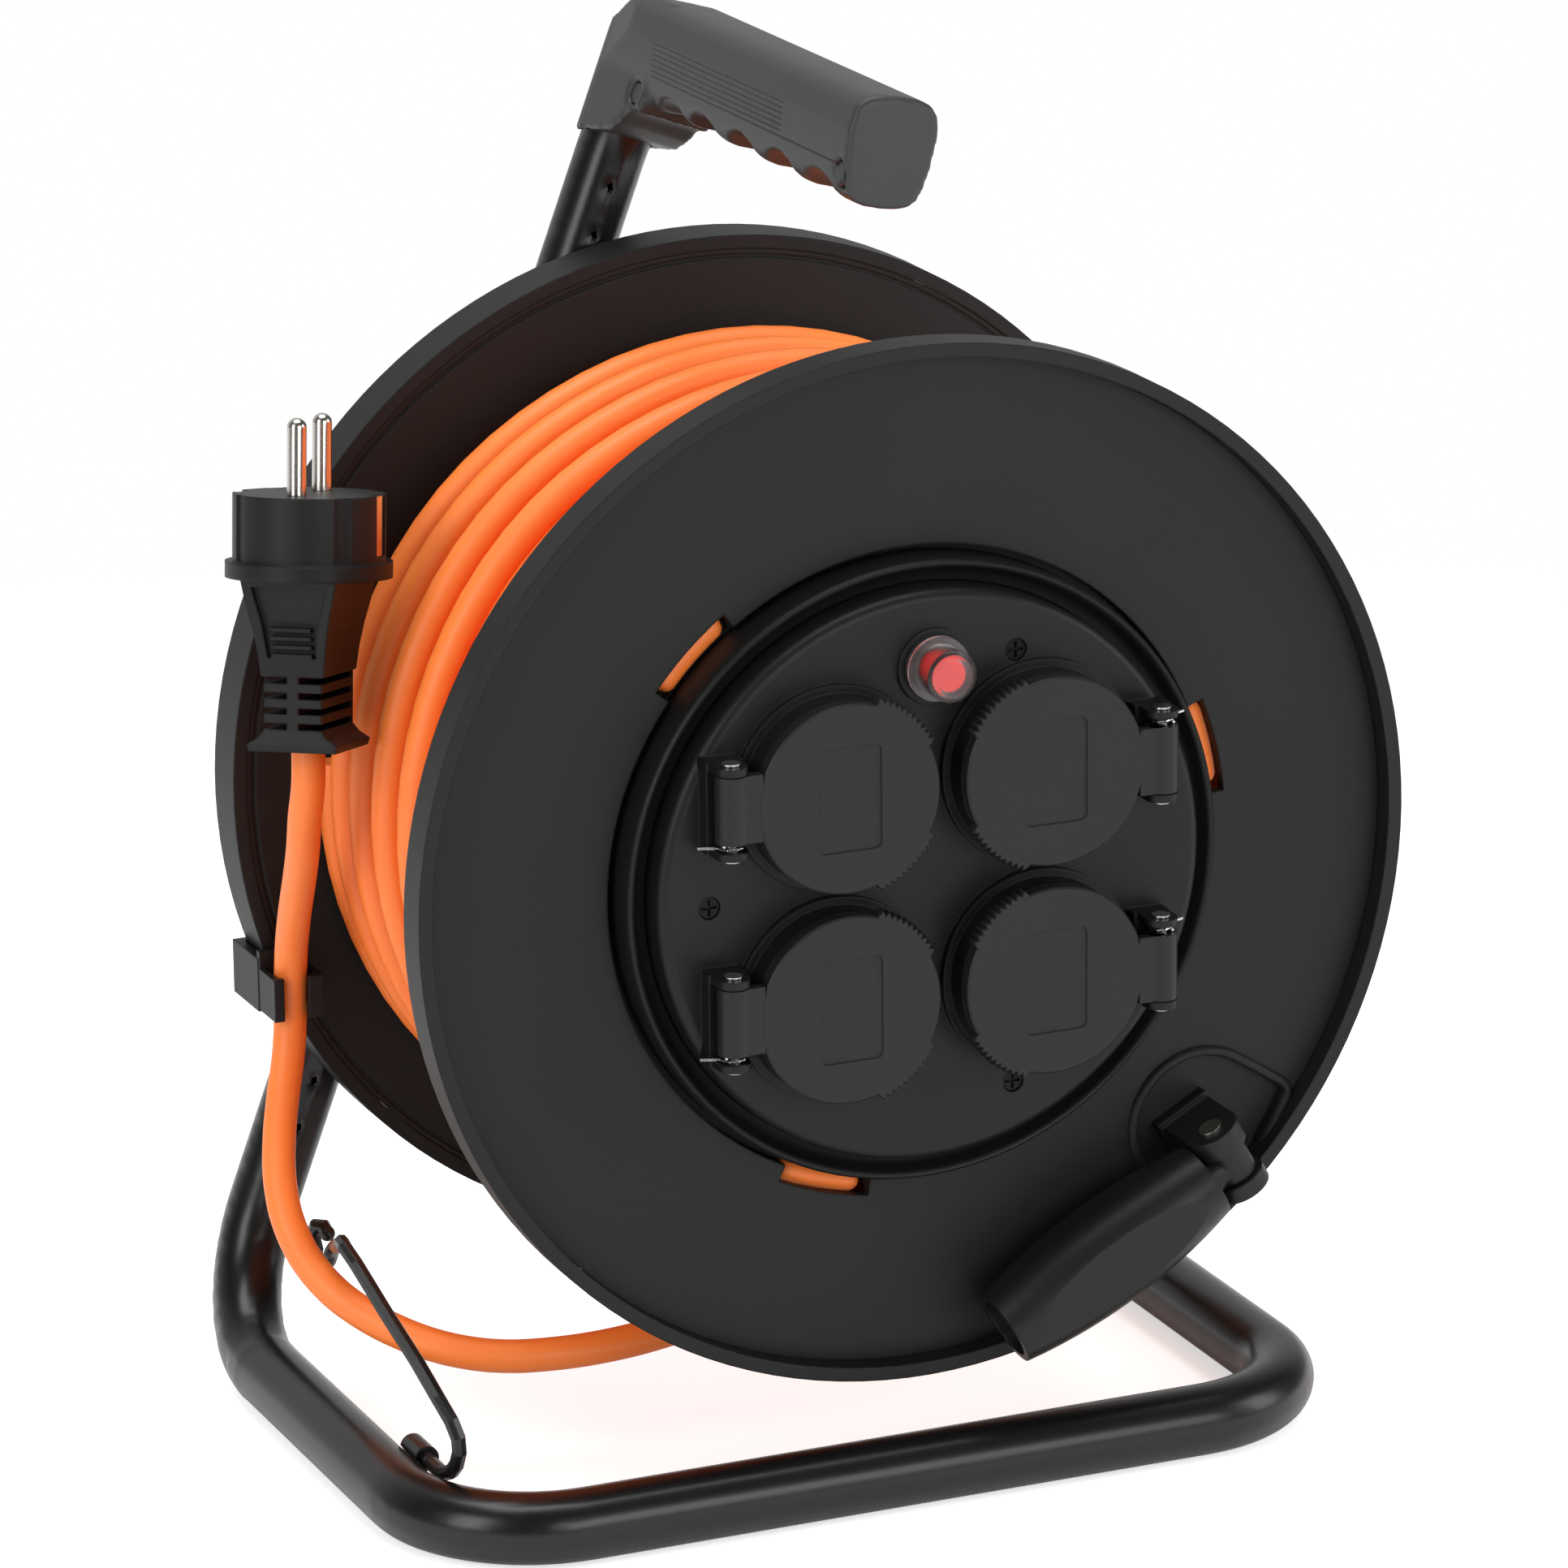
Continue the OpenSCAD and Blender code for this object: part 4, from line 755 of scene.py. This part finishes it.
def white_sweep():
    """A floor that keeps the shadow under the feet and turns plain white to the eye further out."""
    shade = Shader("white sweep")
    path = shade.tree.nodes.new("ShaderNodeLightPath")
    seen = Socket(shade, path.outputs["Is Camera Ray"])
    mirrored = Socket(shade, path.outputs["Is Glossy Ray"])
    spot = shade.node("ShaderNodeTexCoord", out="Object")
    away = shade.node("ShaderNodeVectorMath", {"operation": "LENGTH"}, {0: spot}, out=1)
    far = shade.node("ShaderNodeMapRange", {"interpolation_type": "SMOOTHSTEP"},
                     {0: away, 1: shadow_reach, 2: white_reach})
    lit = shade.node("ShaderNodeBsdfDiffuse", None, {"Color": (0.86, 0.86, 0.86, 1)})
    glow = shade.node("ShaderNodeEmission", None,
                      {"Color": (1, 1, 1, 1), "Strength": 0.6 * seen + 0.1 * mirrored})
    near = shade.node("ShaderNodeAddShader", None, {0: lit, 1: glow})
    plain = shade.node("ShaderNodeEmission", None, {"Color": (1, 1, 1, 1), "Strength": 1.0})
    shade.node_end(shade.node("ShaderNodeMixShader", None, {0: far * seen, 1: near, 2: plain}))
    return shade.material


bpy.ops.mesh.primitive_plane_add(size=12, location=(0, 0, 0))
floor = bpy.context.object
floor.name = "floor"
floor.data.materials.append(white_sweep())


def lamp(name, at, size, power):
    """A soft box aimed at the middle of the reel."""
    light = bpy.data.lights.new(name, "AREA")
    light.shape = "RECTANGLE"
    light.size, light.size_y = size
    light.energy = power
    obj = bpy.data.objects.new(name, light)
    obj.location = at
    obj.rotation_euler = (Vector((0, 0, 0.15)) - Vector(at)).to_track_quat("-Z", "Y").to_euler()
    bpy.context.scene.collection.objects.link(obj)


lamp("top box", (0.0, 0.1, 1.9), (1.5, 1.1), 24)
lamp("front box", (0.5, -2.4, 0.9), (1.6, 1.0), 20)
lamp("left box", (-1.9, -0.9, 1.0), (0.8, 1.4), 17)
lamp("right box", (1.8, -0.9, 0.8), (0.8, 1.2), 11)

world = bpy.data.worlds.new("studio")
bpy.context.scene.world = world
world.use_nodes = True
nodes, links = world.node_tree.nodes, world.node_tree.links
nodes.clear()
path = nodes.new("ShaderNodeLightPath")


def level_for(ray, plain, seen):
    """A strength of seen for this kind of ray, or else plain."""
    mix = nodes.new("ShaderNodeMix")
    mix.data_type = "FLOAT"
    links.new(path.outputs[ray], mix.inputs[0])
    for place, value in ((2, plain), (3, seen)):
        if isinstance(value, float):
            mix.inputs[place].default_value = value
        else:
            links.new(value, mix.inputs[place])
    return mix.outputs[0]


# Seen as a reflection, the room is bright behind the object and dim behind the eye.
view = nodes.new("ShaderNodeTexCoord")
split = nodes.new("ShaderNodeSeparateXYZ")
links.new(view.outputs["Generated"], split.inputs[0])
room = nodes.new("ShaderNodeMapRange")
room.interpolation_type = "SMOOTHSTEP"
links.new(split.outputs["Y"], room.inputs["Value"])
for name, value in (("From Min", 0.2), ("From Max", 1.0), ("To Min", 0.08), ("To Max", 0.7)):
    room.inputs[name].default_value = value
soft_level, white_level = 0.60, 1.0
strength = level_for("Is Glossy Ray", soft_level, room.outputs[0])
strength = level_for("Is Transmission Ray", strength, white_level)
strength = level_for("Is Camera Ray", strength, white_level)
sky = nodes.new("ShaderNodeBackground")
sky.inputs["Color"].default_value = (1, 1, 1, 1)
links.new(strength, sky.inputs["Strength"])
out = nodes.new("ShaderNodeOutputWorld")
links.new(sky.outputs[0], out.inputs["Surface"])
bpy.context.scene.view_settings.view_transform = "Standard"
